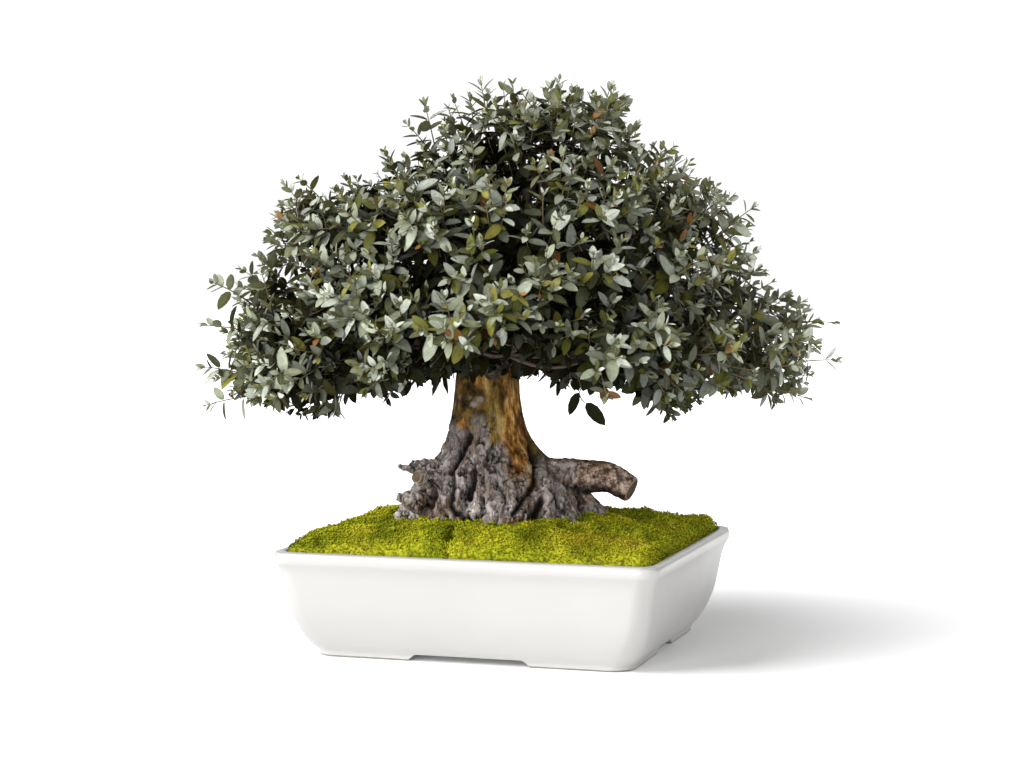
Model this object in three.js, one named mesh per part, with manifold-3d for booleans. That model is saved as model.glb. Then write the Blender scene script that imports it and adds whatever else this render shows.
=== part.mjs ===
// A potted bonsai: an old fluted stump with a dome of small grey-green leaves, in a white
// glazed tray with soil and a carpet of moss. Millimetres, +Z up; the pot's long side runs along X
// and its front faces -Y. The origin is on the surface that the pot stands on, below the crown's middle.
import * as THREE from "three";
import Module from "manifold-3d";
import { mergeVertices } from "three/addons/utils/BufferGeometryUtils.js";

const wasm = await Module();
wasm.setup();

// Driving dimensions
const GAP = 0.35; // clearance between pieces that rest on each other
const TURN = 0.3; // radians about Z that the tree is turned to its best side

const POT = {
  length: 360,
  depth: 316,
  height: 98,
  wall: 9.2,
  flare: 30.6, // how far the rim stands out past the foot
  footRing: 13,
  recess: 7,
  floor: 15,
  rimRadius: 17,
  footRadius: 30,
};
// Height of a point on the outer wall, and its inset as a share of the flare, from the foot up to the lip
const WALL_PROFILE = [
  [0, 1], [4, 1], [9.5, 0.85], [17.6, 0.68], [29, 0.51], [41, 0.38],
  [58, 0.275], [76, 0.17], [83, 0.09], [89, 0.005], [94, 0.0], [96.8, 0.045],
];
const CUT_OUT = { height: 6, front: 55, side: 28, splay: 4 }; // half widths of the gaps between the feet
const DRAIN = { x: 75, radius: 9, mesh: 17, thick: 1.2, bar: 2, cell: 12 };

const MOUND = { edge: 90, rise: 19, moss: 11, gully: 3.2 };
const MOSS_SEEDS = {
  moss_front_left: [-88, -96],
  moss_front_right: [62, -98],
  moss_right: [116, 28],
  moss_back: [20, 108],
  moss_left: [-122, 52],
};

// Height, half width across the front, half width front to back, and sideways offset of the trunk
const TRUNK = [
  [56, 40, 32, -8], [84, 76, 60, -6], [106, 96, 75, -7], [119, 94, 73, -7],
  [135, 84, 65, -10], [150, 73, 57, -13], [163, 61, 49, -16], [178, 48, 41, -19],
  [196, 38, 35, -21], [228, 31, 29, -22], [262, 29, 27, -21],
  [300, 24, 23, -17], [350, 17, 17, -9], [440, 7, 7, 0],
];
const TRUNK_SIDES = 24;
// Direction in degrees, width in degrees and strength of each flute that runs down into a root
const FLUTES = [
  [2, 20, 1], [48, 18, 0.7], [92, 20, 0.9], [135, 17, 0.6], [182, 18, 1],
  [222, 15, 0.75], [262, 17, 0.85], [308, 17, 0.7],
];
const ROOTS = [
  { direction: 12, reach: 118, radius: 9 },
  { direction: 95, reach: 104, radius: 8 },
  { direction: 185, reach: 112, radius: 8 },
  { direction: 268, reach: 108, radius: 8 },
];
const ROOT_DEPTH = [88, 62, 44]; // heights that a root runs down through

// Sawn and broken limbs near the base: route points across, back and up, and the radius at each
const STUMPS = [
  { route: [[12, 12, 148], [50, 4, 156], [88, -14, 158.5], [114, -38, 146]], radii: [23, 17, 13, 11.5], sides: 10 },
  { route: [[-62, -20, 148], [-76, -36, 154], [-88, -48, 160]], radii: [9, 6.5, 5.2], sides: 7 },
  { route: [[-60, -8, 158], [-80, -18, 166], [-103, -26, 168]], radii: [9, 5, 1], sides: 5 },
  { route: [[-74, -22, 132], [-90, -34, 138], [-104, -40, 143]], radii: [8, 5, 1], sides: 5 },
];

// Foliage clouds, in tiers: how many, distance of their middles from the tree's, height, first direction in
// degrees, height and distance from the trunk's middle where their limbs start, limb radius and sides
const TIERS = [
  { name: "low", count: 8, ring: 190, height: 285, first: 0, fork: 256, forkOut: 20, limb: 8, sides: 5, sprigs: 5 },
  { name: "mid", count: 6, ring: 118, height: 385, first: 28, fork: 306, forkOut: 13, limb: 7.5, sides: 4, sprigs: 5 },
  { name: "top", count: 3, ring: 48, height: 455, first: 75, fork: 366, forkOut: 6, limb: 6, sides: 4, sprigs: 5 },
];
// The dome that the leaf tips reach: half width, height of its widest level, height above that level, how far
// the front and back are drawn in, how full its sides are, height of its underside at the left and right edge,
// and how much higher the underside is in the middle and at the front and back edge
const CROWN = { middle: [2, 0], half: 306, widest: 258, rise: 300, squash: 0.87, full: 0.86, edge: 215, arch: 45, lift: 42 };
const CORE = { widest: 112, inside: 34, between: 0.8 }; // limits of a cloud's core, and its depth under the tips
const LEAF_SIZE = { length: 32, width: 17, thick: 0.8 };
const FORK_STEP = 9; // neighbouring limbs leave the trunk this much higher or lower
const LIMB_END = 0.22; // a limb stops this share of its way short of its cloud's middle
const LEAF_PAIRS = [0.4, 0.72]; // where along a sprig's stem its leaf pairs stand
const LEAF_WIDE = { along: 0.42, lift: 0.06 }; // where a blade is widest, and how far it arches there
// Half widths, the length that a leaf grows from, depth in the core and height above it
const SPRIG_STEM = { root: 1.5, tip: 0.9, node: 1.8, under: 8, over: 15 };

const paint = (color, roughness) => new THREE.MeshStandardMaterial({ color, roughness, metalness: 0 });
const GLAZE = paint(0xf2f1ee, 0.25);
const SOIL = paint(0x3a2d22, 0.95);
const MOSS = paint(0x8a9a1e, 0.9);
const BARK = paint(0x6b5a4c, 0.85);
const LEAF = paint(0x66766a, 0.6);
const NETTING = paint(0x23262a, 0.6);

// Solids
const radians = (degrees) => (degrees * Math.PI) / 180;

function solidOf(geometry) {
  const bare = geometry.clone();
  bare.deleteAttribute("normal");
  bare.deleteAttribute("uv");
  const merged = mergeVertices(bare, 1e-4);
  return new wasm.Manifold(
    new wasm.Mesh({
      numProp: 3,
      vertProperties: new Float32Array(merged.attributes.position.array),
      triVerts: new Uint32Array(merged.index.array),
    }),
  );
}

function geometryOf(solid) {
  const { vertProperties, triVerts } = solid.getMesh();
  const geometry = new THREE.BufferGeometry();
  geometry.setAttribute("position", new THREE.BufferAttribute(vertProperties, 3));
  geometry.setIndex(new THREE.BufferAttribute(triVerts, 1));
  geometry.computeVertexNormals();
  return geometry;
}

function solidFrom(points, faces) {
  return new wasm.Manifold(
    new wasm.Mesh({
      numProp: 3,
      vertProperties: new Float32Array(points.flat()),
      triVerts: new Uint32Array(faces),
    }),
  );
}

// The closed solid through a stack of rings with equal numbers of points, capped at both ends
function loft(rings) {
  const n = rings[0].length;
  const middle = (ring) => [0, 1, 2].map((axis) => ring.reduce((sum, p) => sum + p[axis], 0) / n);
  const points = [...rings.flat(), middle(rings[0]), middle(rings.at(-1))];
  const first = rings.length * n;
  const top = first - n;
  const faces = [];
  for (let j = 0; j < n; j++) {
    const k = (j + 1) % n;
    for (let low = 0; low < top; low += n) {
      faces.push(low + j, low + k, low + n + k, low + j, low + n + k, low + n + j);
    }
    faces.push(first, k, j, first + 1, top + j, top + k);
  }
  return solidFrom(points, faces);
}

// A round limb along a smooth route, with a radius for each route point and a flat cut at both ends
function limb(route, radii, sides, steps, grow = 0) {
  const curve = new THREE.CatmullRomCurve3(route.map((p) => new THREE.Vector3(...p)));
  const frames = curve.computeFrenetFrames(steps);
  const rings = [];
  for (let i = 0; i <= steps; i++) {
    const at = (i / steps) * (radii.length - 1);
    const low = Math.min(Math.floor(at), radii.length - 2);
    const radius = THREE.MathUtils.lerp(radii[low], radii[low + 1], at - low) + grow;
    const middle = curve.getPoint(i / steps);
    if (i === 0) middle.addScaledVector(frames.tangents[0], -grow);
    if (i === steps) middle.addScaledVector(frames.tangents[steps], grow);
    const ring = [];
    for (let j = 0; j < sides; j++) {
      const angle = (j / sides) * 2 * Math.PI;
      const point = middle
        .clone()
        .addScaledVector(frames.normals[i], radius * Math.cos(angle))
        .addScaledVector(frames.binormals[i], radius * Math.sin(angle));
      ring.push(point.toArray());
    }
    rings.push(ring);
  }
  return loft(rings);
}

// A point given across, back and up from the side the tree is best seen from
function turned([across, back, up]) {
  const c = Math.cos(TURN);
  const s = Math.sin(TURN);
  return [across * c - back * s, across * s + back * c, up];
}

function union(solids) {
  return wasm.Manifold.union(solids);
}

// The body with the largest volume, so that scraps left by a cut are dropped
function largest(solid) {
  return solid.decompose().sort((a, b) => b.volume() - a.volume())[0];
}

// Seeded random numbers from 0 to 1
function randomFrom(seed) {
  let state = seed;
  return () => {
    state = (state + 0x6d2b79f5) | 0;
    let t = Math.imul(state ^ (state >>> 15), 1 | state);
    t = (t + Math.imul(t ^ (t >>> 7), 61 | t)) ^ t;
    return ((t ^ (t >>> 14)) >>> 0) / 4294967296;
  };
}

// Pot
function roundedRectangle(length, depth, radius, z, perCorner = 5) {
  const ring = [];
  for (const [sx, sy, start] of [[1, 1, 0], [-1, 1, 90], [-1, -1, 180], [1, -1, 270]]) {
    for (let i = 0; i < perCorner; i++) {
      const angle = radians(start + (90 * i) / (perCorner - 1));
      ring.push([
        sx * (length / 2 - radius) + radius * Math.cos(angle),
        sy * (depth / 2 - radius) + radius * Math.sin(angle),
        z,
      ]);
    }
  }
  return ring;
}

function wallInset(z) {
  const above = WALL_PROFILE.findIndex(([height]) => height >= z);
  if (above < 1) return POT.flare * WALL_PROFILE[above < 0 ? WALL_PROFILE.length - 1 : 0][1];
  const [z0, share0] = WALL_PROFILE[above - 1];
  const [z1, share1] = WALL_PROFILE[above];
  return POT.flare * THREE.MathUtils.mapLinear(z, z0, z1, share0, share1);
}

// The pot's outline at a height, drawn in from its outer wall
function potRing(z, inset, from = z) {
  const all = wallInset(from) + inset;
  const share = wallInset(from) / POT.flare;
  const radius = THREE.MathUtils.lerp(POT.rimRadius, POT.footRadius, Math.sqrt(share)) - 0.4 * inset;
  return roundedRectangle(POT.length - 2 * all, POT.depth - 2 * all, Math.max(radius, 6), z);
}

function makePot() {
  const outside = WALL_PROFILE.map(([z]) => potRing(z, 0));
  const lip = [potRing(POT.height, 3.4, 94), potRing(POT.height, POT.wall - 2.2, 94), potRing(POT.height - 2, POT.wall, 94)];
  const inside = [84, 50, 20].map((z) => potRing(z, POT.wall));
  const floor = [potRing(POT.floor, POT.wall + 4, 17)];
  const body = loft([...outside, ...lip, ...inside, ...floor]);

  const ring = 2 * (POT.flare + POT.footRing);
  const hollow = (z) => roundedRectangle(POT.length - ring, POT.depth - ring, POT.footRadius - POT.footRing, z);
  const recess = loft([hollow(-1), hollow(POT.recess)]);
  const gap = (half, run) => {
    const shape = new THREE.Shape([
      new THREE.Vector2(-half - CUT_OUT.splay, -1),
      new THREE.Vector2(half + CUT_OUT.splay, -1),
      new THREE.Vector2(half - CUT_OUT.splay, CUT_OUT.height),
      new THREE.Vector2(-half + CUT_OUT.splay, CUT_OUT.height),
    ]);
    const geometry = new THREE.ExtrudeGeometry(shape, { depth: run, bevelEnabled: false });
    return geometry.translate(0, 0, -run / 2).rotateX(Math.PI / 2);
  };
  const drains = [-1, 1].map((side) =>
    solidOf(
      new THREE.CylinderGeometry(DRAIN.radius, DRAIN.radius, 30, 12).rotateX(Math.PI / 2).translate(side * DRAIN.x, 0, 10),
    ),
  );
  return body.subtract(
    union([
      recess,
      solidOf(gap(CUT_OUT.front, POT.depth)),
      solidOf(gap(CUT_OUT.side, POT.length).rotateZ(Math.PI / 2)),
      ...drains,
    ]),
  );
}

// A square of plastic netting that keeps the soil in over a drain hole
function makeNetting(side) {
  const { mesh, cell, bar, thick } = DRAIN;
  const slab = (size, high, x, y) => solidOf(new THREE.BoxGeometry(size, size, high).translate(x, y, 0));
  const holes = [];
  for (const x of [-0.5, 0.5]) {
    for (const y of [-0.5, 0.5]) holes.push(slab(cell, 3 * thick, x * (cell + bar), y * (cell + bar)));
  }
  const plate = slab(2 * mesh, thick, 0, 0).subtract(union(holes));
  return plate.translate([side * DRAIN.x, 0, POT.floor + GAP + thick / 2]);
}

// Wood
function fluteAt(degrees) {
  let most = 0;
  for (const [direction, width, strength] of FLUTES) {
    const away = ((degrees - direction + 540) % 360) - 180;
    most = Math.max(most, strength * Math.exp(-((away / width) ** 2)));
  }
  return most;
}

function trunkRing([z, halfAcross, halfBack, offset], grow) {
  const spread = THREE.MathUtils.clamp((215 - z) / 90, 0, 1); // flutes fade out up the trunk
  const depth = 0.05 + 0.19 * spread;
  const ring = [];
  for (let j = 0; j < TRUNK_SIDES; j++) {
    const degrees = (j / TRUNK_SIDES) * 360;
    const swell = 1 + depth * (fluteAt(degrees + 8 * Math.sin(z / 30)) - 0.62);
    const angle = radians(degrees);
    ring.push(
      turned([
        offset + (halfAcross * swell + grow) * Math.cos(angle),
        (halfBack * swell + grow) * Math.sin(angle),
        z,
      ]),
    );
  }
  return ring;
}

function makeBase(grow) {
  const levels = TRUNK.map((level) => [...level]);
  levels[0][0] -= grow;
  const trunk = loft(levels.map((level) => trunkRing(level, grow)));
  const roots = ROOTS.map(({ direction, reach, radius }) => {
    const angle = radians(direction);
    const route = ROOT_DEPTH.map((z, i) => {
      const out = 48 + (reach - 48) * (i / (ROOT_DEPTH.length - 1));
      return turned([-6 + out * Math.cos(angle), 0.82 * out * Math.sin(angle), z]);
    });
    return limb(route, [radius * 1.6, radius, 3], 4, 2, grow);
  });
  const stumps = STUMPS.map(({ route, radii, sides }) => limb(route.map(turned), radii, sides, route.length, grow));
  return union([trunk, ...roots, ...stumps]);
}

// The trunk's middle at a height
function trunkMiddle(z) {
  const above = TRUNK.findIndex(([height]) => height >= z);
  const [z0, , , offset0] = TRUNK[above - 1];
  const [z1, , , offset1] = TRUNK[above];
  return turned([THREE.MathUtils.mapLinear(z, z0, z1, offset0, offset1), 0, z]);
}

function cloudList() {
  const clouds = [];
  for (const tier of TIERS) {
    for (let i = 0; i < tier.count; i++) {
      const angle = radians(tier.first + (360 * i) / tier.count);
      const [x, y, z] = turned([tier.ring * Math.cos(angle), CROWN.squash * tier.ring * Math.sin(angle), tier.height]);
      clouds.push({
        name: `foliage_${tier.name}_${i + 1}`,
        middle: new THREE.Vector3(x + CROWN.middle[0], y + CROWN.middle[1], z),
        tier,
      });
    }
  }
  return clouds;
}

function makeLimbs(clouds, grow) {
  return clouds.map(({ middle, tier }, i) => {
    const start = new THREE.Vector3(...trunkMiddle(tier.fork + (i % 3) * FORK_STEP));
    const outward = middle.clone().sub(start).setZ(0).normalize();
    start.addScaledVector(outward, tier.forkOut);
    const end = middle.clone().lerp(start, LIMB_END);
    const bend = start.clone().lerp(end, 0.5);
    bend.z += 0.12 * start.distanceTo(end);
    return limb([start.toArray(), bend.toArray(), end.toArray()], [tier.limb * 1.25, tier.limb, 4], tier.sides, 3, grow);
  });
}

// Foliage
// Adds a thin pointed blade to a mesh that is being built, grown out of an open four-sided hole in it. The
// hole's corners run anticlockwise seen from outside, the first and last of them on the same side of the blade
function addBlade({ points, faces }, hole, { foot, out, side, length, width }) {
  const normal = new THREE.Vector3().crossVectors(out, side).normalize();
  const middle = foot.clone().addScaledVector(out, LEAF_WIDE.along * length).addScaledVector(normal, LEAF_WIDE.lift * length);
  const wide = points.length;
  for (const [across, up] of [[-1, -1], [1, -1], [1, 1], [-1, 1]]) {
    points.push(
      middle
        .clone()
        .addScaledVector(side, (across * width) / 2)
        .addScaledVector(normal, (up * LEAF_SIZE.thick) / 2),
    );
  }
  points.push(foot.clone().addScaledVector(out, length));
  for (let i = 0; i < 4; i++) {
    const j = (i + 1) % 4;
    faces.push(hole[i], hole[j], wide + j, hole[i], wide + j, wide + i);
    faces.push(wide + i, wide + j, wide + 4);
  }
}

// Evenly spread directions over a ball
function spreadDirections(count) {
  const golden = Math.PI * (3 - Math.sqrt(5));
  return Array.from({ length: count }, (_, i) => {
    const z = 1 - (2 * (i + 0.5)) / count;
    const r = Math.sqrt(1 - z * z);
    return new THREE.Vector3(r * Math.cos(i * golden), r * Math.sin(i * golden), z);
  });
}

// How far a point lies inside the space that belongs to a cloud, up to halfway to each neighbour
function roomAt(point, cloud, clouds) {
  let room = Infinity;
  for (const other of clouds) {
    if (other === cloud) continue;
    const away = other.middle.clone().sub(cloud.middle);
    const distance = away.length();
    const along = point.clone().sub(cloud.middle).dot(away) / distance;
    room = Math.min(room, distance / 2 - along);
  }
  return room;
}

// Whether a point lies in the crown's dome, drawn in by the depth of the leaves
function inCrown(point, depth) {
  const back = point.y - CROWN.middle[1];
  const across = point.x - CROWN.middle[0];
  const c = Math.cos(TURN);
  const s = Math.sin(TURN);
  const behind = (back * c - across * s) / CROWN.squash;
  const out = Math.hypot(across * c + back * s, behind);
  const up = Math.max((point.z + depth - CROWN.widest) / CROWN.rise, 0);
  if (up >= 1) return false;
  const reach = CROWN.half * (1 - up ** 2) ** CROWN.full - depth;
  const arch = CROWN.arch * (1 - (out / CROWN.half) ** 2) + CROWN.lift * (behind / CROWN.half) ** 2;
  return out < reach && point.z > CROWN.edge + arch + 0.4 * depth;
}

// How far a cloud's core reaches in a direction, in the dome and in the cloud's own space
function coreReach(way, cloud, clouds) {
  let reach = 0;
  for (let step = 32; step >= 0.5; step /= 2) {
    while (reach + step <= CORE.widest) {
      const point = cloud.middle.clone().addScaledVector(way, reach + step);
      if (!inCrown(point, CORE.inside) || roomAt(point, cloud, clouds) < CORE.between) break;
      reach += step;
    }
  }
  return reach;
}

function cloudCore(cloud, clouds) {
  const geometry = new THREE.IcosahedronGeometry(1, 1);
  const position = geometry.attributes.position;
  for (let i = 0; i < position.count; i++) {
    const way = new THREE.Vector3().fromBufferAttribute(position, i);
    const point = cloud.middle.clone().addScaledVector(way, coreReach(way, cloud, clouds));
    position.setXYZ(i, point.x, point.y, point.z);
  }
  return solidOf(geometry);
}

// A square stem out of the cloud's core with opposite pairs of leaves and one leaf at its tip
function sprig(cloud, clouds, way, random) {
  const reach = coreReach(way, cloud, clouds);
  const stemRoot = cloud.middle.clone().addScaledVector(way, reach - SPRIG_STEM.under);
  const tip = cloud.middle.clone().addScaledVector(way, reach + SPRIG_STEM.over);
  tip.z += 4;
  const along = tip.clone().sub(stemRoot).normalize();
  const across = new THREE.Vector3().crossVectors(along, new THREE.Vector3(0, 0, 1)).normalize();
  across.applyAxisAngle(along, random() * 1.5);
  const corner = [across, new THREE.Vector3().crossVectors(along, across)];
  const span = stemRoot.distanceTo(tip);
  const stops = [0, ...LEAF_PAIRS.flatMap((share) => [share * span, share * span + SPRIG_STEM.node]), span];

  const built = { points: [], faces: [] };
  for (const stop of stops) {
    const half = THREE.MathUtils.lerp(SPRIG_STEM.root, SPRIG_STEM.tip, stop / span);
    for (const [a, b] of [[-1, -1], [1, -1], [1, 1], [-1, 1]]) {
      const point = stemRoot.clone().addScaledVector(along, stop);
      built.points.push(point.addScaledVector(corner[0], a * half).addScaledVector(corner[1], b * half));
    }
  }
  const blade = (foot, out, side, scale) => {
    const length = LEAF_SIZE.length * scale;
    return { foot, out, side, length, width: LEAF_SIZE.width * scale };
  };
  built.faces.push(0, 2, 1, 0, 3, 2);
  for (let low = 0; low < stops.length - 1; low++) {
    const pair = low % 2 === 1 ? (low - 1) / 2 : -1; // the pair of leaves that grows from this length
    const forward = 0.7 + 0.4 * random();
    for (let i = 0; i < 4; i++) {
      const j = (i + 1) % 4;
      const hole = [4 * low + i, 4 * low + j, 4 * low + 4 + j, 4 * low + 4 + i];
      if (pair < 0 || i % 2 !== pair % 2) {
        built.faces.push(hole[0], hole[1], hole[2], hole[0], hole[2], hole[3]);
        continue;
      }
      const side = corner[i % 2].clone().multiplyScalar(i < 2 ? 1 : -1);
      const outward = corner[1 - (i % 2)].clone().multiplyScalar(i === 0 || i === 3 ? -1 : 1);
      const foot = stemRoot.clone().addScaledVector(along, stops[low] + SPRIG_STEM.node / 2);
      const out = outward.addScaledVector(along, forward).normalize();
      addBlade(built, hole, blade(foot, out, side, 0.8 + 0.25 * random()));
    }
  }
  const last = 4 * (stops.length - 1);
  addBlade(built, [0, 1, 2, 3].map((i) => last + i), blade(tip, along, corner[0], 0.7));
  return solidFrom(built.points.map((point) => point.toArray()), built.faces);
}

// Whether a solid stays in its cloud's own space
function fits(solid, cloud, clouds) {
  const { vertProperties } = solid.getMesh();
  for (let i = 0; i < vertProperties.length; i += 3) {
    const point = new THREE.Vector3(...vertProperties.subarray(i, i + 3));
    if (roomAt(point, cloud, clouds) < GAP) return false;
  }
  return true;
}

function makeCloud(cloud, clouds, wood, seed) {
  const random = randomFrom(seed);
  const parts = [cloudCore(cloud, clouds)];
  const open = spreadDirections(160).filter((way) => {
    const tip = cloud.middle.clone().addScaledVector(way, coreReach(way, cloud, clouds) + 2);
    return !inCrown(tip, CORE.inside) && roomAt(tip, cloud, clouds) > 14;
  });
  const order = new Map(open.map((way) => [way, random()]));
  open.sort((a, b) => order.get(a) - order.get(b));
  const outward = cloud.middle.clone().sub(new THREE.Vector3(...CROWN.middle, cloud.middle.z)).normalize();
  open.unshift(outward);
  const taken = [];
  for (const nearest of [0.7, 0.55, 0.42, 0.3]) {
    for (const way of open) {
      if (taken.length >= cloud.tier.sprigs) break;
      if (taken.some((other) => other.distanceTo(way) < nearest)) continue;
      const made = sprig(cloud, clouds, way, random);
      if (!fits(made, cloud, clouds)) continue;
      taken.push(way);
      parts.push(made);
    }
  }
  return largest(union(parts).subtract(wood));
}

// Soil and moss
function mound(x, y) {
  const fall = Math.max(Math.abs(x) / (POT.length / 2), Math.abs(y) / (POT.depth / 2));
  const round = Math.hypot(x / (POT.length / 2), y / (POT.depth / 2));
  return MOUND.edge + MOUND.rise * Math.cos((Math.min(0.5 * (fall + round), 1) * Math.PI) / 2);
}

function makeSoil(hollows) {
  const walls = [[POT.floor + GAP, 4], [20, 0], [50, 0], [84, 0]].map(([z, extra]) =>
    potRing(z, POT.wall + GAP + extra, Math.max(z, 17)),
  );
  const rim = potRing(MOUND.edge - 2, POT.wall + GAP + 1, 88);
  const tops = [0, 0.3, 0.65].map((share) =>
    rim.map(([x, y]) => [x * (1 - share), y * (1 - share), mound(x * (1 - share), y * (1 - share))]),
  );
  tops[0] = rim;
  return loft([...walls, ...tops]).subtract(hollows);
}

// Distance from a seed along a direction to the edge of its moss cushion
function mossReach(seed, angle) {
  const way = [Math.cos(angle), Math.sin(angle)];
  const inset = POT.wall + 3;
  const half = [POT.length / 2 - inset, POT.depth / 2 - inset];
  let reach = Infinity;
  for (const axis of [0, 1]) {
    if (Math.abs(way[axis]) > 1e-6) reach = Math.min(reach, (Math.sign(way[axis]) * half[axis] - seed[axis]) / way[axis]);
  }
  const corner = 16; // the pot's inner corner, drawn in so that the cushion follows its round
  const reachTo = (length) => [seed[0] + way[0] * length, seed[1] + way[1] * length];
  const outside = ([x, y]) => Math.hypot(Math.max(Math.abs(x) - half[0] + corner, 0), Math.max(Math.abs(y) - half[1] + corner, 0)) > corner;
  while (outside(reachTo(reach))) reach -= 0.5;
  for (const other of Object.values(MOSS_SEEDS)) {
    const [dx, dy] = [other[0] - seed[0], other[1] - seed[1]];
    const along = dx * way[0] + dy * way[1];
    if (along > 1e-6) reach = Math.min(reach, (0.5 * (dx * dx + dy * dy)) / along - MOUND.gully / 2);
  }
  return reach;
}

function makeMoss(seed, under) {
  const around = 22;
  const shares = [0.5, 0.88, 1];
  const topAt = (x, y, share) => {
    const lumps = 1.8 * Math.sin(x / 9 + seed[0]) * Math.cos(y / 8 - seed[1]) + 1.2 * Math.sin((x + 2 * y) / 13);
    return mound(x, y) + GAP + (MOUND.moss + lumps) * Math.sqrt(1 - 0.93 * share ** 6);
  };
  const ringAt = (share, z) =>
    Array.from({ length: around }, (_, i) => {
      const angle = (2 * Math.PI * i) / around;
      const length = share * mossReach(seed, angle);
      const [x, y] = [seed[0] + length * Math.cos(angle), seed[1] + length * Math.sin(angle)];
      return [x, y, z(x, y, share)];
    });
  const bottom = ringAt(1, () => MOUND.edge - 6);
  const tops = [...shares].reverse().map((share) => ringAt(share, topAt));
  return largest(loft([bottom, ...tops]).subtract(under));
}

// Assembly
const root = new THREE.Group();
function add(name, solid, material) {
  const mesh = new THREE.Mesh(geometryOf(solid), material);
  mesh.name = name;
  root.add(mesh);
}

const clouds = cloudList();
const wood = union([makeBase(0), ...makeLimbs(clouds, 0)]);
const woodClearance = union([makeBase(GAP), ...makeLimbs(clouds, GAP)]);
const netting = [-1, 1].map((side) => makeNetting(side));
const nettingClearance = [-1, 1].map((side) => {
  const across = 2 * (DRAIN.mesh + GAP);
  const high = DRAIN.thick + 2 * GAP;
  return solidOf(new THREE.BoxGeometry(across, across, 2 * high).translate(side * DRAIN.x, 0, POT.floor + GAP));
});

add("pot", makePot(), GLAZE);
add("drain_net_left", netting[0], NETTING);
add("drain_net_right", netting[1], NETTING);
const soil = makeSoil(union([woodClearance, ...nettingClearance]));
add("soil", soil, SOIL);
const underMoss = union([woodClearance, soil.translate([0, 0, GAP])]);
for (const [name, seed] of Object.entries(MOSS_SEEDS)) {
  add(name, makeMoss(seed, underMoss), MOSS);
}
add("wood", wood, BARK);
clouds.forEach((cloud, i) => add(cloud.name, makeCloud(cloud, clouds, woodClearance, 100 + i), LEAF));

export default root;
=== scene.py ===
"""A potted bonsai: gnarled stump, dome of grey-green leaves, moss mound and a white glazed tray.

Lengths in the tables are millimetres, heights above the floor. `u` runs to the right and `v` away from the
viewer, across the direction that the tree is seen from; x, y, z is the model's own frame.
"""
import math

import bpy
import numpy as np
from mathutils import Matrix, Vector, noise


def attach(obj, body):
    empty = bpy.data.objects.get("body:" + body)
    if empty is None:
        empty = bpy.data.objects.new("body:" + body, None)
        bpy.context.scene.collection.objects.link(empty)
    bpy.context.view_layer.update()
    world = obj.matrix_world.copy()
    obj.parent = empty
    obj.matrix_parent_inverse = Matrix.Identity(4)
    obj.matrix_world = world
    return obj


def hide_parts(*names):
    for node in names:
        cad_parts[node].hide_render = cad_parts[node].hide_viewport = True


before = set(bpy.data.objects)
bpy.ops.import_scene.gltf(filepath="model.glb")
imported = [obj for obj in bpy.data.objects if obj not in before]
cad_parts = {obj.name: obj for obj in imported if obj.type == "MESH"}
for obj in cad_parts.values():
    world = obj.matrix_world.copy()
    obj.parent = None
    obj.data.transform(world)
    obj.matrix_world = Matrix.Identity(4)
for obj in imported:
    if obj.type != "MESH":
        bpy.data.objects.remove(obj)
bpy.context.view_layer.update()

MM = 0.001
ROOT = "root"

# Viewpoint
CAMERA = {"yaw": 17.32, "pitch": 3.56, "distance": 2192.4, "focal": 2331.66, "aside": 1.32, "height": 243.67}
IMAGE_WIDTH = 1024
SENSOR = 36.0

YAW = math.radians(CAMERA["yaw"])
RIGHT = np.array([math.cos(YAW), math.sin(YAW), 0.0])
BEHIND = np.array([-math.sin(YAW), math.cos(YAW), 0.0])
UP = np.array([0.0, 0.0, 1.0])


def placed(u, v, z):
    """Model coordinates, in millimetres, of points given across, behind and up."""
    u, v, z = np.broadcast_arrays(np.asarray(u, float), np.asarray(v, float), np.asarray(z, float))
    return u[..., None] * RIGHT + v[..., None] * BEHIND + z[..., None] * UP


def unit(vectors):
    return vectors / np.maximum(np.linalg.norm(vectors, axis=-1, keepdims=True), 1e-12)


def smoothstep(low, high, value):
    t = np.clip((value - low) / (high - low), 0.0, 1.0)
    return t * t * (3 - 2 * t)


# Meshes
def new_piece(name, points, faces, material, smooth=True, slot=None, replaces=()):
    """A piece from points in millimetres and faces with equal numbers of corners."""
    mesh = bpy.data.meshes.new(name)
    faces = np.asarray(faces, np.int32)
    count, corners = faces.shape
    mesh.vertices.add(len(points))
    mesh.vertices.foreach_set("co", (np.asarray(points) * MM).astype(np.float32).ravel())
    mesh.loops.add(count * corners)
    mesh.loops.foreach_set("vertex_index", faces.ravel())
    mesh.polygons.add(count)
    mesh.polygons.foreach_set("loop_start", np.arange(0, count * corners, corners, dtype=np.int32))
    mesh.polygons.foreach_set("use_smooth", np.full(count, smooth))
    mesh.update(calc_edges=True)
    mesh.materials.append(material)
    piece = bpy.data.objects.new(name, mesh)
    bpy.context.scene.collection.objects.link(piece)
    if slot:
        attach(piece, ROOT)
    if replaces:
        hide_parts(*replaces)
    return piece


def store(mesh, name, values):
    """Keeps a number or a vector for each vertex, for the materials to read."""
    values = np.asarray(values, np.float32)
    kind, key = ("FLOAT", "value") if values.ndim == 1 else ("FLOAT_VECTOR", "vector")
    mesh.attributes.new(name, kind, "POINT").data.foreach_set(key, values.ravel())


class Batch:
    """Collects points, faces and stored values of many small shapes that make one piece."""

    def __init__(self):
        self.points, self.faces, self.values, self.count = [], [], [], 0

    def add(self, points, faces, values):
        self.points.append(points)
        self.faces.append(faces + self.count)
        self.values.append(values)
        self.count += len(points)

    def arrays(self):
        return np.concatenate(self.points), np.concatenate(self.faces), np.concatenate(self.values)


def bezier(start, middle, end, steps):
    t = np.linspace(0, 1, steps + 1)[:, None]
    return (1 - t) ** 2 * start + 2 * t * (1 - t) * middle + t**2 * end


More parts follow.
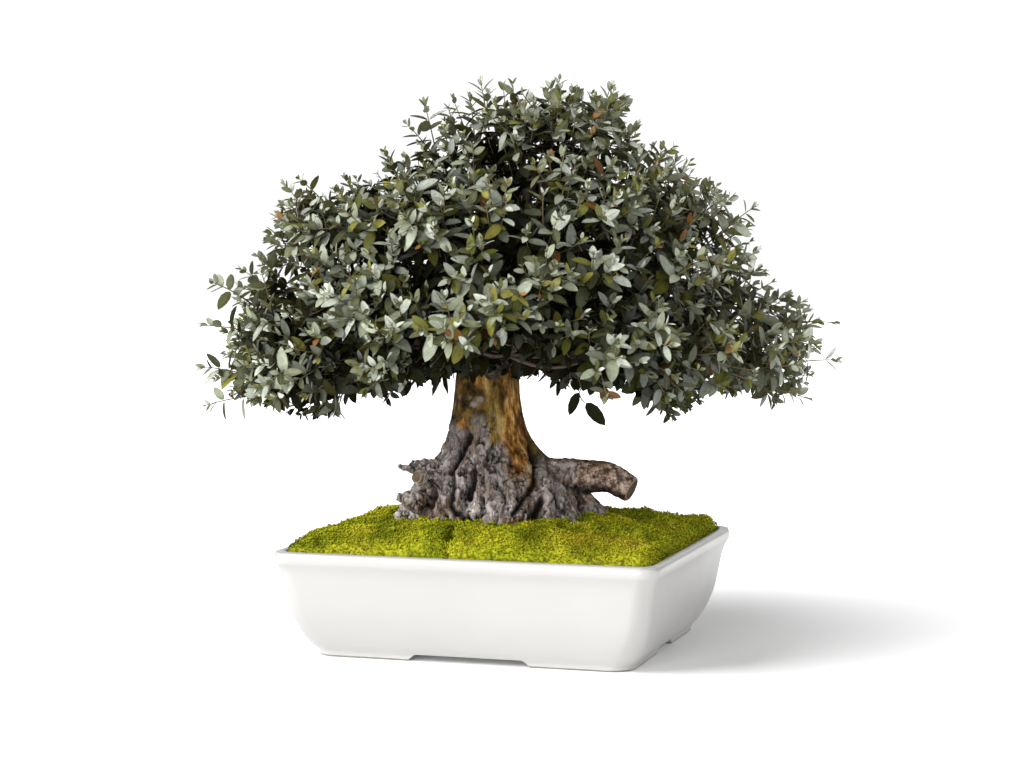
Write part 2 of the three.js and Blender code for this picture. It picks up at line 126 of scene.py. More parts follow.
def skin(rings):
    """Triangles between rings of equal size, stacked upwards, with both ends closed by a fan."""
    n = len(rings[0])
    j = np.arange(n)
    k = (j + 1) % n
    faces = []
    for low in range(0, (len(rings) - 1) * n, n):
        faces.append(np.stack([low + j, low + k, low + n + k], 1))
        faces.append(np.stack([low + j, low + n + k, low + n + j], 1))
    points = np.concatenate([*rings, [rings[0].mean(0)], [rings[-1].mean(0)]])
    last, middle = (len(rings) - 1) * n, len(rings) * n
    faces.append(np.stack([np.full(n, middle), k, j], 1))
    faces.append(np.stack([np.full(n, middle + 1), last + j, last + k], 1))
    return points, np.concatenate(faces)


def round_rings(path, radii, sides):
    """Rings round a path and square to it."""
    tangent = unit(np.gradient(path, axis=0))
    side = unit(np.cross(tangent, UP if abs(tangent[0][2]) < 0.8 else RIGHT))
    other = np.cross(tangent, side)
    angle = np.arange(sides) / sides * 2 * math.pi
    ring = np.cos(angle)[None, :, None] * side[:, None] + np.sin(angle)[None, :, None] * other[:, None]
    return path[:, None] + ring * np.asarray(radii)[:, None, None]


def tube(path, radii, sides):
    """A round tube along a path, with a cone at its far end."""
    points, faces = skin(round_rings(path, radii, sides))
    points[-1] += unit(path[-1] - path[-2]) * radii[-1]
    return points, faces


def smooth_table(rows, at):
    """Smooth values between the rows of a table, without overshoot."""
    rows = np.array(rows, float)
    x, y = rows[:, 0], rows[:, 1:]
    slope = np.diff(y, axis=0) / np.diff(x)[:, None]
    both = slope[1:] * slope[:-1]
    inner = np.where(both > 0, 2 * slope[1:] * slope[:-1] / (slope[1:] + slope[:-1] + 1e-12), 0.0)
    tangent = np.concatenate([slope[:1], inner, slope[-1:]])
    at = np.clip(np.asarray(at, float), x[0], x[-1])
    i = np.clip(np.searchsorted(x, at, side="right") - 1, 0, len(x) - 2)
    h = (x[i + 1] - x[i])[..., None]
    t = (at - x[i])[..., None] / h
    value = (2 * t**3 - 3 * t**2 + 1) * y[i] + (t**3 - 2 * t**2 + t) * h * tangent[i]
    return value + (3 * t**2 - 2 * t**3) * y[i + 1] + (t**3 - t**2) * h * tangent[i + 1]


# Materials
MIX_FIRST, MIX_SECOND, MIX_RESULT = 6, 7, 2  # the colour sockets of a mix node


class Shader:
    """Builds one procedural material, node by node."""

    def __init__(self, name):
        self.material = bpy.data.materials.new(name)
        self.material.use_nodes = True
        self.tree = self.material.node_tree
        self.surface = self.tree.nodes["Principled BSDF"]
        self.where = self.tree.nodes.new("ShaderNodeTexCoord").outputs["Object"]

    def node(self, kind, **fields):
        made = self.tree.nodes.new("ShaderNode" + kind)
        for field, value in fields.items():
            setattr(made, field, value)
        return made

    def put(self, socket, value):
        if isinstance(value, bpy.types.NodeSocket):
            self.tree.links.new(value, socket)
        else:
            socket.default_value = value

    def parts(self, vector):
        """The three numbers of a vector."""
        made = self.node("SeparateXYZ")
        self.put(made.inputs[0], vector)
        return made.outputs

    def stretched(self, scale):
        mapping = self.node("Mapping")
        self.put(mapping.inputs["Vector"], self.where)
        mapping.inputs["Scale"].default_value = scale
        return mapping.outputs["Vector"]

    def warped(self, where, scale, amount):
        """Coordinates pushed about by a noise, for shapes that aren't straight."""
        push = self.node("TexNoise")
        self.put(push.inputs["Vector"], where)
        push.inputs["Scale"].default_value = scale
        made = self.node("VectorMath", operation="MULTIPLY_ADD")
        self.put(made.inputs[0], push.outputs["Color"])
        made.inputs[1].default_value = (amount, amount, amount)
        self.put(made.inputs[2], where)
        return made.outputs[0]

    def noise(self, scale, detail=4.0, rough=0.55, where=None):
        made = self.node("TexNoise")
        self.put(made.inputs["Vector"], where or self.where)
        for name, value in (("Scale", scale), ("Detail", detail), ("Roughness", rough)):
            made.inputs[name].default_value = value
        return made.outputs["Fac"]

    def cells(self, scale, where=None, feature="F1"):
        made = self.node("TexVoronoi", feature=feature)
        self.put(made.inputs["Vector"], where or self.where)
        made.inputs["Scale"].default_value = scale
        return made.outputs["Distance"]

    def stored(self, name, out="Fac"):
        return self.node("Attribute", attribute_name=name).outputs[out]

    def ramp(self, fac, stops):
        """Colours, or greys given as single numbers, along a range."""
        made = self.node("ValToRGB")
        self.put(made.inputs["Fac"], fac)
        elements = made.color_ramp.elements
        while len(elements) < len(stops):
            elements.new(0.5)
        for element, (position, color) in zip(elements, stops):
            element.position = position
            element.color = (*color, 1.0) if not isinstance(color, float) else (color, color, color, 1.0)
        return made.outputs["Color"]

    def mix(self, fac, first, second, blend="MIX"):
        made = self.node("Mix", data_type="RGBA", blend_type=blend)
        self.put(made.inputs["Factor"], fac)
        self.put(made.inputs[MIX_FIRST], with_alpha(first))
        self.put(made.inputs[MIX_SECOND], with_alpha(second))
        return made.outputs[MIX_RESULT]

    def math(self, operation, first, second=0.0):
        made = self.node("Math", operation=operation)
        self.put(made.inputs[0], first)
        self.put(made.inputs[1], second)
        return made.outputs[0]

    def plus(self, first, second):
        return self.math("ADD", first, second)

    def minus(self, first, second):
        return self.math("SUBTRACT", first, second)

    def times(self, first, second):
        return self.math("MULTIPLY", first, second)

    def bump(self, height, strength, distance, after=None):
        made = self.node("Bump")
        self.put(made.inputs["Height"], height)
        made.inputs["Strength"].default_value = strength
        made.inputs["Distance"].default_value = distance * MM
        if after:
            self.put(made.inputs["Normal"], after)
        return made.outputs["Normal"]

    def finish(self, color, rough, normal=None, **surface):
        self.put(self.surface.inputs["Base Color"], color)
        self.put(self.surface.inputs["Roughness"], rough)
        if normal:
            self.put(self.surface.inputs["Normal"], normal)
        for name, value in surface.items():
            self.surface.inputs[name.replace("_", " ")].default_value = value
        return self.material


def with_alpha(value):
    return (*value, 1.0) if isinstance(value, tuple) and len(value) == 3 else value


def glaze_material():
    """White satin glaze with a painted contact shadow: grey-brown at the very bottom of the feet."""
    s = Shader("white_glaze")
    color = s.ramp(s.noise(9.0, 2.0), [(0.3, (0.478, 0.470, 0.457)), (0.7, (0.498, 0.491, 0.480))])
    height = s.parts(s.where)[2]
    wavy = s.plus(height, s.times(s.noise(60.0), 0.0012))
    # painted contact shadow: the lowest two millimetres of the feet turn grey-brown, where the tray meets the
    # floor
    painted_contact_shadow = s.ramp(s.times(wavy, 100.0), [(0.17, 1.0), (0.23, 0.0)])
    color = s.mix(painted_contact_shadow, color, (0.20, 0.175, 0.150))
    rough = s.ramp(s.noise(25.0), [(0.3, 0.31), (0.7, 0.39)])
    return s.finish(color, rough, s.bump(s.noise(22.0, 2.0), 0.05, 1.0), Coat_Weight=0.3, Coat_Roughness=0.2)


def soil_material():
    s = Shader("potting_soil")
    shades = [(0.3, (0.018, 0.012, 0.008)), (0.6, (0.075, 0.05, 0.032)), (0.75, (0.16, 0.12, 0.08))]
    grain = s.cells(320.0)
    return s.finish(s.ramp(s.noise(150.0, 6.0), shades), 0.95, s.bump(grain, 0.9, 2.0))


def netting_material():
    s = Shader("net_plastic")
    color = s.ramp(s.noise(300.0), [(0.35, (0.012, 0.013, 0.015)), (0.7, (0.03, 0.032, 0.035))])
    return s.finish(color, 0.6, s.bump(s.noise(1200.0), 0.2, 0.2))


def moss_material():
    """Yellow-green shoots with painted shade at their feet, in the moss's dips and along the tray's wall, and
    a dry patch.
    """
    s = Shader("moss_shoots")
    greens = [
        (0.32, (0.20, 0.25, 0.006)),
        (0.45, (0.48, 0.51, 0.012)),
        (0.57, (0.68, 0.66, 0.022)),
        (0.72, (0.80, 0.66, 0.05)),
    ]
    patch = s.ramp(s.noise(24.0, 5.0, 0.6), greens)
    fine = s.ramp(s.noise(420.0, 4.0), [(0.36, 0.35), (0.62, 1.22)])
    color = s.mix(1.0, patch, fine, "MULTIPLY")
    color = s.mix(s.times(s.stored("dry"), 0.6), color, (0.42, 0.27, 0.02))
    # painted shade: almost black where the stored tip value is low, at the shoots' feet, on the cushion
    # between them, in dips and by the wall
    color = s.mix(s.minus(1.0, s.stored("tip")), color, (0.030, 0.042, 0.003))
    return s.finish(color, 0.9, None, Specular_IOR_Level=0.15)


def leaf_material():
    """Grey-green blades with a pale rib, a darker rim and faint side veins, with painted shade that makes
    them almost black inside the crown.
    """
    s = Shader("leaf_blade")
    shades = [
        (0.00, (0.050, 0.055, 0.018)),
        (0.22, (0.140, 0.150, 0.075)),
        (0.45, (0.350, 0.388, 0.285)),
        (0.80, (0.610, 0.655, 0.570)),
        (0.84, (0.105, 0.120, 0.022)),
        (0.93, (0.280, 0.260, 0.045)),
        (0.97, (0.340, 0.140, 0.030)),
        (1.00, (0.120, 0.050, 0.020)),
    ]
    mottle = s.ramp(s.noise(230.0, 3.0), [(0.3, 0.78), (0.7, 1.18)])
    color = s.mix(1.0, s.ramp(s.stored("tint"), shades), mottle, "MULTIPLY")
    across, along, under = s.parts(s.stored("blade", "Vector"))
    color = s.mix(s.times(under, 0.6), color, (0.170, 0.170, 0.060))
    from_rib = s.math("ABSOLUTE", across)
    edge = s.ramp(from_rib, [(0.74, 0.0), (1.0, 0.55)])
    base = s.ramp(along, [(0.02, 0.6), (0.30, 0.0)])
    color = s.mix(s.math("MAXIMUM", edge, base), color, (0.085, 0.080, 0.018))
    rib = s.ramp(from_rib, [(0.03, 1.0), (0.10, 0.0)])
    color = s.mix(s.times(rib, 0.35), color, (0.33, 0.34, 0.20))
    vein = s.math("SINE", s.times(s.minus(along, s.times(from_rib, 0.35)), 44.0))
    normal = s.bump(s.plus(vein, s.times(rib, -2.0)), 0.25, 0.15)
    # painted shade: leaves well inside the crown turn almost black and lose most of their specular
    inside = s.stored("inside")
    color = s.mix(s.times(inside, 0.96), color, (0.006, 0.006, 0.0015))
    s.put(s.surface.inputs["Specular IOR Level"], s.ramp(inside, [(0.0, 0.28), (0.6, 0.03)]))
    return s.finish(color, s.ramp(s.noise(160.0), [(0.3, 0.42), (0.7, 0.58)]), normal)


def twig_material():
    s = Shader("twig_bark")
    young = s.stored("young")
    old = s.ramp(s.noise(180.0, 4.0), [(0.3, (0.020, 0.012, 0.008)), (0.7, (0.085, 0.055, 0.035))])
    color = s.mix(young, old, (0.20, 0.17, 0.075))
    return s.finish(color, 0.7, s.bump(s.noise(700.0), 0.4, 0.3))


# Colours of the bark's zones, from its hollows to its ridges
BARK_SHADES = {
    "rough": [
        (0.29, (0.018, 0.013, 0.011)), (0.39, (0.175, 0.142, 0.130)),
        (0.52, (0.500, 0.435, 0.405)), (0.68, (0.820, 0.760, 0.710)),
    ],
    "olive": [(0.38, (0.006, 0.004, 0.001)), (0.52, (0.060, 0.038, 0.007)), (0.66, (0.230, 0.140, 0.040))],
    "ochre": [
        (0.38, (0.020, 0.008, 0.002)), (0.48, (0.190, 0.078, 0.016)),
        (0.56, (0.440, 0.220, 0.050)), (0.65, (0.850, 0.570, 0.250)),
    ],
    "tan": [(0.37, (0.040, 0.025, 0.006)), (0.50, (0.230, 0.148, 0.038)), (0.64, (0.480, 0.330, 0.115))],
    "limb": [(0.40, (0.010, 0.005, 0.003)), (0.49, (0.190, 0.108, 0.070)), (0.59, (0.720, 0.540, 0.420))],
    "lichen": [(0.35, (0.20, 0.170, 0.155)), (0.65, (0.38, 0.340, 0.320))],
}


def bark_colour(s, grain, tall, smooth_zone, orange_zone, pale_zone):
    """Grey and rough below, olive and ochre above, with patches of tan and lichen."""
    rough = s.ramp(grain, BARK_SHADES["rough"])
    brown = s.ramp(s.noise(28.0, 3.0), [(0.42, 0.0), (0.60, 0.65)])
    rough = s.mix(brown, rough, (0.170, 0.105, 0.060))
    limb = s.ramp(s.noise(150.0, 6.0, 0.7), BARK_SHADES["limb"])
    rough = s.mix(s.times(s.stored("limb"), 0.85), rough, limb)
    olive = s.ramp(s.noise(70.0, 6.0, 0.65), BARK_SHADES["olive"])
    color = s.mix(smooth_zone, rough, olive)
    streaks = s.noise(120.0, 7.0, 0.7, tall)
    color = s.mix(orange_zone, color, s.ramp(streaks, BARK_SHADES["ochre"]))
    color = s.mix(s.stored("tan"), color, s.ramp(streaks, BARK_SHADES["tan"]))
    color = s.mix(pale_zone, color, s.ramp(s.noise(110.0, 5.0), BARK_SHADES["lichen"]))
    # painted shade: the bark goes near black in its fissures, pits and grooves, inside the crown and under
    # the sawn limb
    return s.mix(s.times(s.stored("painted_shade"), 0.96), color, (0.006, 0.004, 0.004))


def bark_material():
    s = Shader("old_bark")
    tall = s.stretched((1.0, 1.0, 0.35))
    grain = s.noise(160.0, 8.0, 0.68, tall)
    smooth_zone, orange_zone, pale_zone = s.parts(s.stored("zones", "Vector"))
    color = bark_colour(s, grain, tall, smooth_zone, orange_zone, pale_zone)
    cracks = s.cells(120.0, s.warped(tall, 90.0, 0.012), "DISTANCE_TO_EDGE")
    line = s.times(s.ramp(cracks, [(0.012, 0.5), (0.06, 0.0)]), s.minus(1.0, smooth_zone))
    color = s.mix(line, color, (0.014, 0.010, 0.008))
    plates = s.times(s.ramp(cracks, [(0.0, 0.0), (0.12, 1.0)]), s.minus(0.42, s.times(smooth_zone, 0.36)))
    normal = s.bump(s.plus(s.times(grain, 1.5), plates), 1.0, 1.8)
    normal = s.bump(s.noise(700.0, 5.0), 0.6, 0.6, normal)
    return s.finish(color, s.ramp(grain, [(0.3, 0.9), (0.7, 0.68)]), normal, Specular_IOR_Level=0.1)


def cut_material(name, pale, dark):
    """Sawn wood: growth rings, stains and a paler rim."""
    s = Shader(name)
    rings = s.stored("ring")
    wobble = s.plus(s.times(rings, 46.0), s.times(s.noise(120.0), 5.0))
    band = s.ramp(s.plus(s.times(s.math("SINE", wobble), 0.5), 0.5), [(0.1, dark), (0.7, pale)])
    stain = s.ramp(s.noise(140.0, 5.0), [(0.38, 0.0), (0.66, 0.8)])
    color = s.mix(stain, band, tuple(0.45 * c for c in dark))
    color = s.mix(s.ramp(rings, [(0.80, 0.0), (0.92, 0.75)]), color, (0.36, 0.27, 0.18))
    return s.finish(color, 0.8, s.bump(s.noise(500.0, 4.0), 0.6, 0.5))


def floor_material():
    """Pale paper with a painted glow, faint near the tree and stronger further out, which lightens the
    crown's shadow on the floor.
    """
    s = Shader("studio_floor")
    color = s.ramp(s.noise(2.0), [(0.3, (0.90, 0.90, 0.90)), (0.7, (0.91, 0.91, 0.91))])
    out = s.node("VectorMath", operation="LENGTH")
    s.put(out.inputs[0], s.where)
    glow = s.node("MapRange", interpolation_type="SMOOTHSTEP")
    s.put(glow.inputs["Value"], out.outputs["Value"])
    fields = {"From Min": "near", "From Max": "far", "To Min": "glow", "To Max": "far_glow"}
    for name, field in fields.items():
        glow.inputs[name].default_value = FLOOR[field]
    s.surface.inputs["Emission Color"].default_value = (1, 1, 1, 1)
    s.put(s.surface.inputs["Emission Strength"], glow.outputs["Result"])
    return s.finish(color, 0.9)


GLAZE = glaze_material()
SOIL = soil_material()
NETTING = netting_material()
MOSS = moss_material()
LEAF = leaf_material()
TWIG = twig_material()
BARK = bark_material()

# Tray: the same drawing as the solid, with finer steps
POT = {
    "length": 360, "depth": 316, "height": 98, "wall": 9.2, "flare": 30.6, "foot_ring": 13, "recess": 7,
    "floor": 15, "rim_radius": 17, "foot_radius": 21, "least_radius": 6,
}
# Height and share of the flare that the wall still lacks there
WALL_PROFILE = [
    (0, 1), (4, 1), (9.5, 0.85), (17.6, 0.68), (29, 0.51), (41, 0.38),
    (58, 0.275), (76, 0.17), (83, 0.09), (89, 0.005), (94, 0.0), (96.8, 0.045),
]
OUTER_HEIGHTS = [
    0, 0.5, 1.6, 4, 6.5, 9.5, 13, 17.6, 23, 29, 35, 41, 49, 58, 67, 76, 80, 83, 85, 87, 89, 91.5, 94, 95.4,
    96.4,
]
INNER_HEIGHTS = [95.6, 94, 90, 84, 76, 66, 54, 42, 30, 22]
FOOT_EDGE = {0: 1.1, 0.5: 0.35}  # how far the foot's rounded edge stands in at a height
LIP = {"rise": 1.6, "steps": 7, "straight": 94, "round": 0.92}
DRAIN = {"x": 75, "radius": 9, "sides": 32}
GAPS = [{"half": 55, "run": 330, "sideways": False}, {"half": 28, "run": 370, "sideways": True}]
GAP_SIDE = [(4, -2), (1.5, 1.5), (-3.2, 5.4), (-6, 6.2)]  # past the half width, and height
CORNER_STEPS = 13
SIDE_STEPS = 9
SHARP_EDGE = 38


def rounded_ring(length, depth, radius, z):
    angle = np.linspace(0, math.pi / 2, CORNER_STEPS)
    corners = []
    for number, (sx, sy) in enumerate(((1, 1), (-1, 1), (-1, -1), (1, -1))):
        turn = angle + number * math.pi / 2
        x = sx * (length / 2 - radius) + radius * np.cos(turn)
        y = sy * (depth / 2 - radius) + radius * np.sin(turn)
        corners.append(np.stack([x, y, np.full_like(x, z)], 1))
    sides = np.linspace(0, 1, SIDE_STEPS + 2)[1:-1, None]
    ring = []
    for number, corner in enumerate(corners):
        after = corners[(number + 1) % 4][0]
        ring += [corner, corner[-1] + (after - corner[-1]) * sides]
    return np.concatenate(ring)


def wall_share(z):
    return float(smooth_table(WALL_PROFILE, z)[..., 0])


def pot_ring(z, inset, level=None):
    """The tray's section at a height, set in from its outside, with the flare of another level if given."""
    share = wall_share(z if level is None else level)
    all_round = share * POT["flare"] + inset
    wider = (POT["foot_radius"] - POT["rim_radius"]) * math.sqrt(max(share, 0))
    radius = POT["rim_radius"] + wider - 0.4 * inset
    length, depth = POT["length"] - 2 * all_round, POT["depth"] - 2 * all_round
    return rounded_ring(length, depth, max(radius, POT["least_radius"]), z)


def cutter(points, faces):
    mesh = bpy.data.meshes.new("cutter")
    mesh.from_pydata((np.asarray(points) * MM).tolist(), [], np.asarray(faces).tolist())
    made = bpy.data.objects.new("cutter", mesh)
    bpy.context.scene.collection.objects.link(made)
    return made


def foot_gap(half, run, sideways):
    """The slot between two feet, as a rod with sloped ends that runs right through below the tray."""
    right = [(half + out, up) for out, up in GAP_SIDE]
    left = [(-x, up) for x, up in right]
    outline = np.array([left[0], *right, *left[:0:-1]])
    rings = []
    for end in (-run / 2, run / 2):
        ring = np.stack([outline[:, 0], np.full(len(outline), -end), outline[:, 1]], 1)
        rings.append(ring if not sideways else np.stack([-ring[:, 1], ring[:, 0], ring[:, 2]], 1))
    return skin(rings)


def pot_rings():
    """Sections from the foot up the outside, over the lip and down the inside to the floor."""
    rings = [pot_ring(z, FOOT_EDGE.get(z, 0)) for z in OUTER_HEIGHTS]
    half_lip = POT["wall"] / 2
    for step in range(LIP["steps"]):
        angle = math.pi * (0.15 + 0.7 * step / (LIP["steps"] - 1))
        inset = half_lip - half_lip * math.cos(angle) * LIP["round"]
        z = POT["height"] - LIP["rise"] * (1 - math.sin(angle))
        rings.append(pot_ring(z, inset, LIP["straight"]))
    rings += [pot_ring(z, POT["wall"], min(z, LIP["straight"])) for z in INNER_HEIGHTS]
    rings += [pot_ring(17, POT["wall"] + 2, 19), pot_ring(POT["floor"], POT["wall"] + 6, 19)]
    return rings


def pot_cutters():
    """What is taken out of the tray: the recess below it, the gaps between its feet and the drain holes."""
    around = 2 * (POT["flare"] + POT["foot_ring"])
    length, depth = POT["length"] - around, POT["depth"] - around
    recess = [rounded_ring(length, depth, POT["rim_radius"], z) for z in (-1, POT["recess"])]
    cutters = [cutter(*skin(recess))] + [cutter(*foot_gap(**gap)) for gap in GAPS]
    angle = np.linspace(0, 2 * math.pi, DRAIN["sides"] + 1)[:-1]
    for side in (-1, 1):
        x = side * DRAIN["x"] + DRAIN["radius"] * np.cos(angle)
        circle = np.stack([x, DRAIN["radius"] * np.sin(angle)], 1)
        hole = [np.column_stack([circle, np.full(DRAIN["sides"], z)]) for z in (-5, 25)]
        cutters.append(cutter(*skin(hole)))
    return cutters


def make_pot():
    body = new_piece("tray_glazed", *skin(pot_rings()), GLAZE, slot="glazed_ceramic", replaces=["pot"])
    cutters = pot_cutters()
    for made in cutters:
        cut = body.modifiers.new("cut", "BOOLEAN")
        cut.operation = "DIFFERENCE"
        cut.solver = "EXACT"
        cut.object = made
    settle(body)
    for made in cutters:
        bpy.data.objects.remove(made)
    body.data.shade_smooth()
    body.data.set_sharp_from_angle(angle=math.radians(SHARP_EDGE))


def settle(piece):
    """Applies a piece's modifiers to its mesh."""
    graph = bpy.context.evaluated_depsgraph_get()
    mesh = bpy.data.meshes.new_from_object(piece.evaluated_get(graph))
    old = piece.data
    piece.modifiers.clear()
    piece.data = mesh
    mesh.name = piece.name
    bpy.data.meshes.remove(old)


make_pot()

# Soil and moss
MOUND = {"edge": 90, "rise": 19, "moss": 15.5}
MOSS_SEEDS = {
    "moss_front_left": (-88, -96),
    "moss_front_right": (62, -98),
    "moss_right": (116, 28),
    "moss_back": (20, 108),
    "moss_left": (-122, 52),
}
FURROW = {"route": [(14, -128), (26, -104), (42, -88), (52, -66), (66, -48)], "deep": 5.0, "half": 4.0}
TRUNK_FOOT = {"x": -8, "half_x": 72, "half_y": 54}
DRY = {"u": 78, "v": -136, "half_u": 42, "half_v": 20}
MOSS_LOW = {"sunk": 1.5, "least": 84}
# Heights of the moss's fine and coarse waves and of its shoulder, and how far the seams wander
MOSS_RELIEF = {"fine": 3.4, "coarse": 3.6, "shoulder": 3.2, "wander": 15}
SEAM = {"least": 0.68, "width": 15}
MOSS_PITCH = 2.8
TUFTS = 29000


def fractal(points, size, octaves=3):
    """Fractal noise, about -1 to 1, at points in millimetres."""
    scaled = np.asarray(points) / size
    return np.array([noise.fractal(Vector(p), 1.0, 2.0, octaves) for p in scaled])


def to_route(route, x, y):
    """Distance from each point to a route of straight legs."""
    route = np.array(route, float)
    nearest = np.full_like(x, 1e9)
    for a, b in zip(route[:-1], route[1:]):
        leg = b - a
        t = np.clip(((x - a[0]) * leg[0] + (y - a[1]) * leg[1]) / (leg @ leg), 0, 1)
        nearest = np.minimum(nearest, np.hypot(x - a[0] - t * leg[0], y - a[1] - t * leg[1]))
    return nearest


def mound(x, y):
    fall = np.maximum(np.abs(x) / (POT["length"] / 2), np.abs(y) / (POT["depth"] / 2))
    around = np.hypot(x / (POT["length"] / 2), y / (POT["depth"] / 2))
    return MOUND["edge"] + MOUND["rise"] * np.cos(np.minimum(0.5 * (fall + around), 1) * math.pi / 2)


def inner_edge(x, y, corner=14):
    """How far a point lies inside the tray's inner wall, in millimetres."""
    half_x, half_y = (POT[side] / 2 - POT["wall"] - 0.6 for side in ("length", "depth"))
    dx = np.abs(x) - half_x + corner
    dy = np.abs(y) - half_y + corner
    outside = np.hypot(np.maximum(dx, 0), np.maximum(dy, 0)) + np.minimum(np.maximum(dx, dy), 0)
    return corner - outside


def moss_field():
    """A grid over the soil: x, y, moss height, each point's cushion, distance from the wall and relief."""
    xs = np.arange(-POT["length"] / 2, POT["length"] / 2, MOSS_PITCH)
    ys = np.arange(-POT["depth"] / 2, POT["depth"] / 2, MOSS_PITCH)
    x, y = np.meshgrid(xs, ys, indexing="ij")
    flat = np.stack([x.ravel(), y.ravel(), np.zeros(x.size)], 1)

    def waves(size, shift=0):
        return fractal(flat + shift, size, 2).reshape(x.shape)

    warp = MOSS_RELIEF["wander"] * waves(46)
    seeds = np.array(list(MOSS_SEEDS.values()), float)
    apart = np.hypot((x + warp)[..., None] - seeds[:, 0], (y - warp)[..., None] - seeds[:, 1])
    order = np.sort(apart, axis=-1)
    gully = order[..., 1] - order[..., 0]
    edge = inner_edge(x, y)
    off_furrow = to_route(FURROW["route"], flat @ RIGHT, flat @ BEHIND) / FURROW["half"]
    furrow = FURROW["deep"] * np.exp(-(off_furrow**2)).reshape(x.shape)
    relief = MOSS_RELIEF["fine"] * waves(12) + MOSS_RELIEF["coarse"] * waves(34, 50)
    seam = SEAM["least"] + (1 - SEAM["least"]) * smoothstep(0, SEAM["width"], gully)
    rise = MOUND["moss"] * seam * smoothstep(-2.5, 9, edge) ** 0.5
    shoulder = MOSS_RELIEF["shoulder"] * smoothstep(4, 24, edge) * smoothstep(85, 35, edge)
    height = mound(x, y) + rise + shoulder + relief * smoothstep(0, 12, edge)
    return x, y, height - furrow, apart.argmin(-1), edge, relief - furrow


def cushion_cells(mine, inside):
    """The grid's squares that a cushion covers: wholly inside the tray, with a corner of its own."""
    some = mine[:-1, :-1] | mine[1:, :-1] | mine[:-1, 1:] | mine[1:, 1:]
    return some & inside[:-1, :-1] & inside[1:, :-1] & inside[:-1, 1:] & inside[1:, 1:]


def cushion_skin(x, y, height, cell):
    """A cushion's top, its underside on the soil and the wall round its rim, as triangles."""
    index = np.arange(x.size).reshape(x.shape)
    corners = (index[:-1, :-1], index[1:, :-1], index[1:, 1:], index[:-1, 1:])
    quads = np.stack([corner[cell] for corner in corners], 1)
    used = np.unique(quads)
    new = np.full(x.size, -1)
    new[used] = np.arange(len(used))
    quads = new[quads]
    top = np.stack([x, y, height], -1).reshape(-1, 3)[used]
    soil = np.maximum(mound(top[:, 0], top[:, 1]) - MOSS_LOW["sunk"], MOSS_LOW["least"])
    count = len(top)
    edges = np.concatenate([quads[:, [i, (i + 1) % 4]] for i in range(4)])
    key, other_way = edges[:, 0] * count + edges[:, 1], edges[:, 1] * count + edges[:, 0]
    rim = edges[~np.isin(key, other_way)]
    walls = np.stack([rim[:, 1], rim[:, 0], rim[:, 0] + count, rim[:, 1] + count], 1)
    faces = np.concatenate([quads, quads[:, ::-1] + count, walls])
    triangles = np.concatenate([faces[:, [0, 1, 2]], faces[:, [0, 2, 3]]])
    # painted shade on the cushion between the shoots; its hidden underside is black
    shade = np.concatenate([np.full(count, 0.55), np.zeros(count)])
    return np.concatenate([top, np.column_stack([top[:, :2], soil])]), triangles, shade


def plant_tufts(batch, field, cell, count, rng):
    """Tufts at random places on a cushion, square to its slope more or less, with painted shade in its dips
    and along the tray's wall.
    """
    x, y, height, _, edge, relief = field
    rows, cols = np.unravel_index(rng.choice(np.flatnonzero(cell.ravel()), count), cell.shape)
    fx, fy = rng.random(count), rng.random(count)
    gx, gy = (slope[rows, cols] for slope in np.gradient(height, MOSS_PITCH))
    tx = x[rows, cols] + fx * MOSS_PITCH
    ty = y[rows, cols] + fy * MOSS_PITCH
    tz = height[rows, cols] + fx * MOSS_PITCH * gx + fy * MOSS_PITCH * gy
    ground = np.stack([tx, ty, tz - 0.5], 1)
    up = unit(np.stack([-gx, -gy, np.ones(count)], 1) + rng.normal(0, 0.42, (count, 3)))
    # painted shade in the dips and within 6 mm of the tray's wall
    painted_shading = 0.82 + 0.10 * relief[rows, cols] - 0.30 * smoothstep(6, 1, edge[rows, cols])
    add_tufts(batch, ground, up, np.clip(painted_shading, 0.3, 1), rng)


def make_moss():
    rng = np.random.default_rng(11)
    field = moss_field()
    x, y, height, owner, edge, _ = field
    off_trunk = np.hypot((x - TRUNK_FOOT["x"]) / TRUNK_FOOT["half_x"], y / TRUNK_FOOT["half_y"])
    inside = (edge > 0) & (off_trunk >= 1)
    for number, name in enumerate(MOSS_SEEDS):
        cell = cushion_cells(inside & (owner == number), inside)
        batch = Batch()
        batch.add(*cushion_skin(x, y, height, cell))
        plant_tufts(batch, field, cell, int(TUFTS * cell.sum() / inside.sum()), rng)
        points, faces, shades = batch.arrays()
        piece = new_piece("shoots_" + name, points, faces, MOSS, slot="moss", replaces=[name])
        # painted shade for the moss material
        store(piece.data, "tip", shades)
        away_u = (points @ RIGHT - DRY["u"]) / DRY["half_u"]
        away_v = (points @ BEHIND - DRY["v"]) / DRY["half_v"]
        store(piece.data, "dry", np.exp(-(away_u**2) - away_v**2))


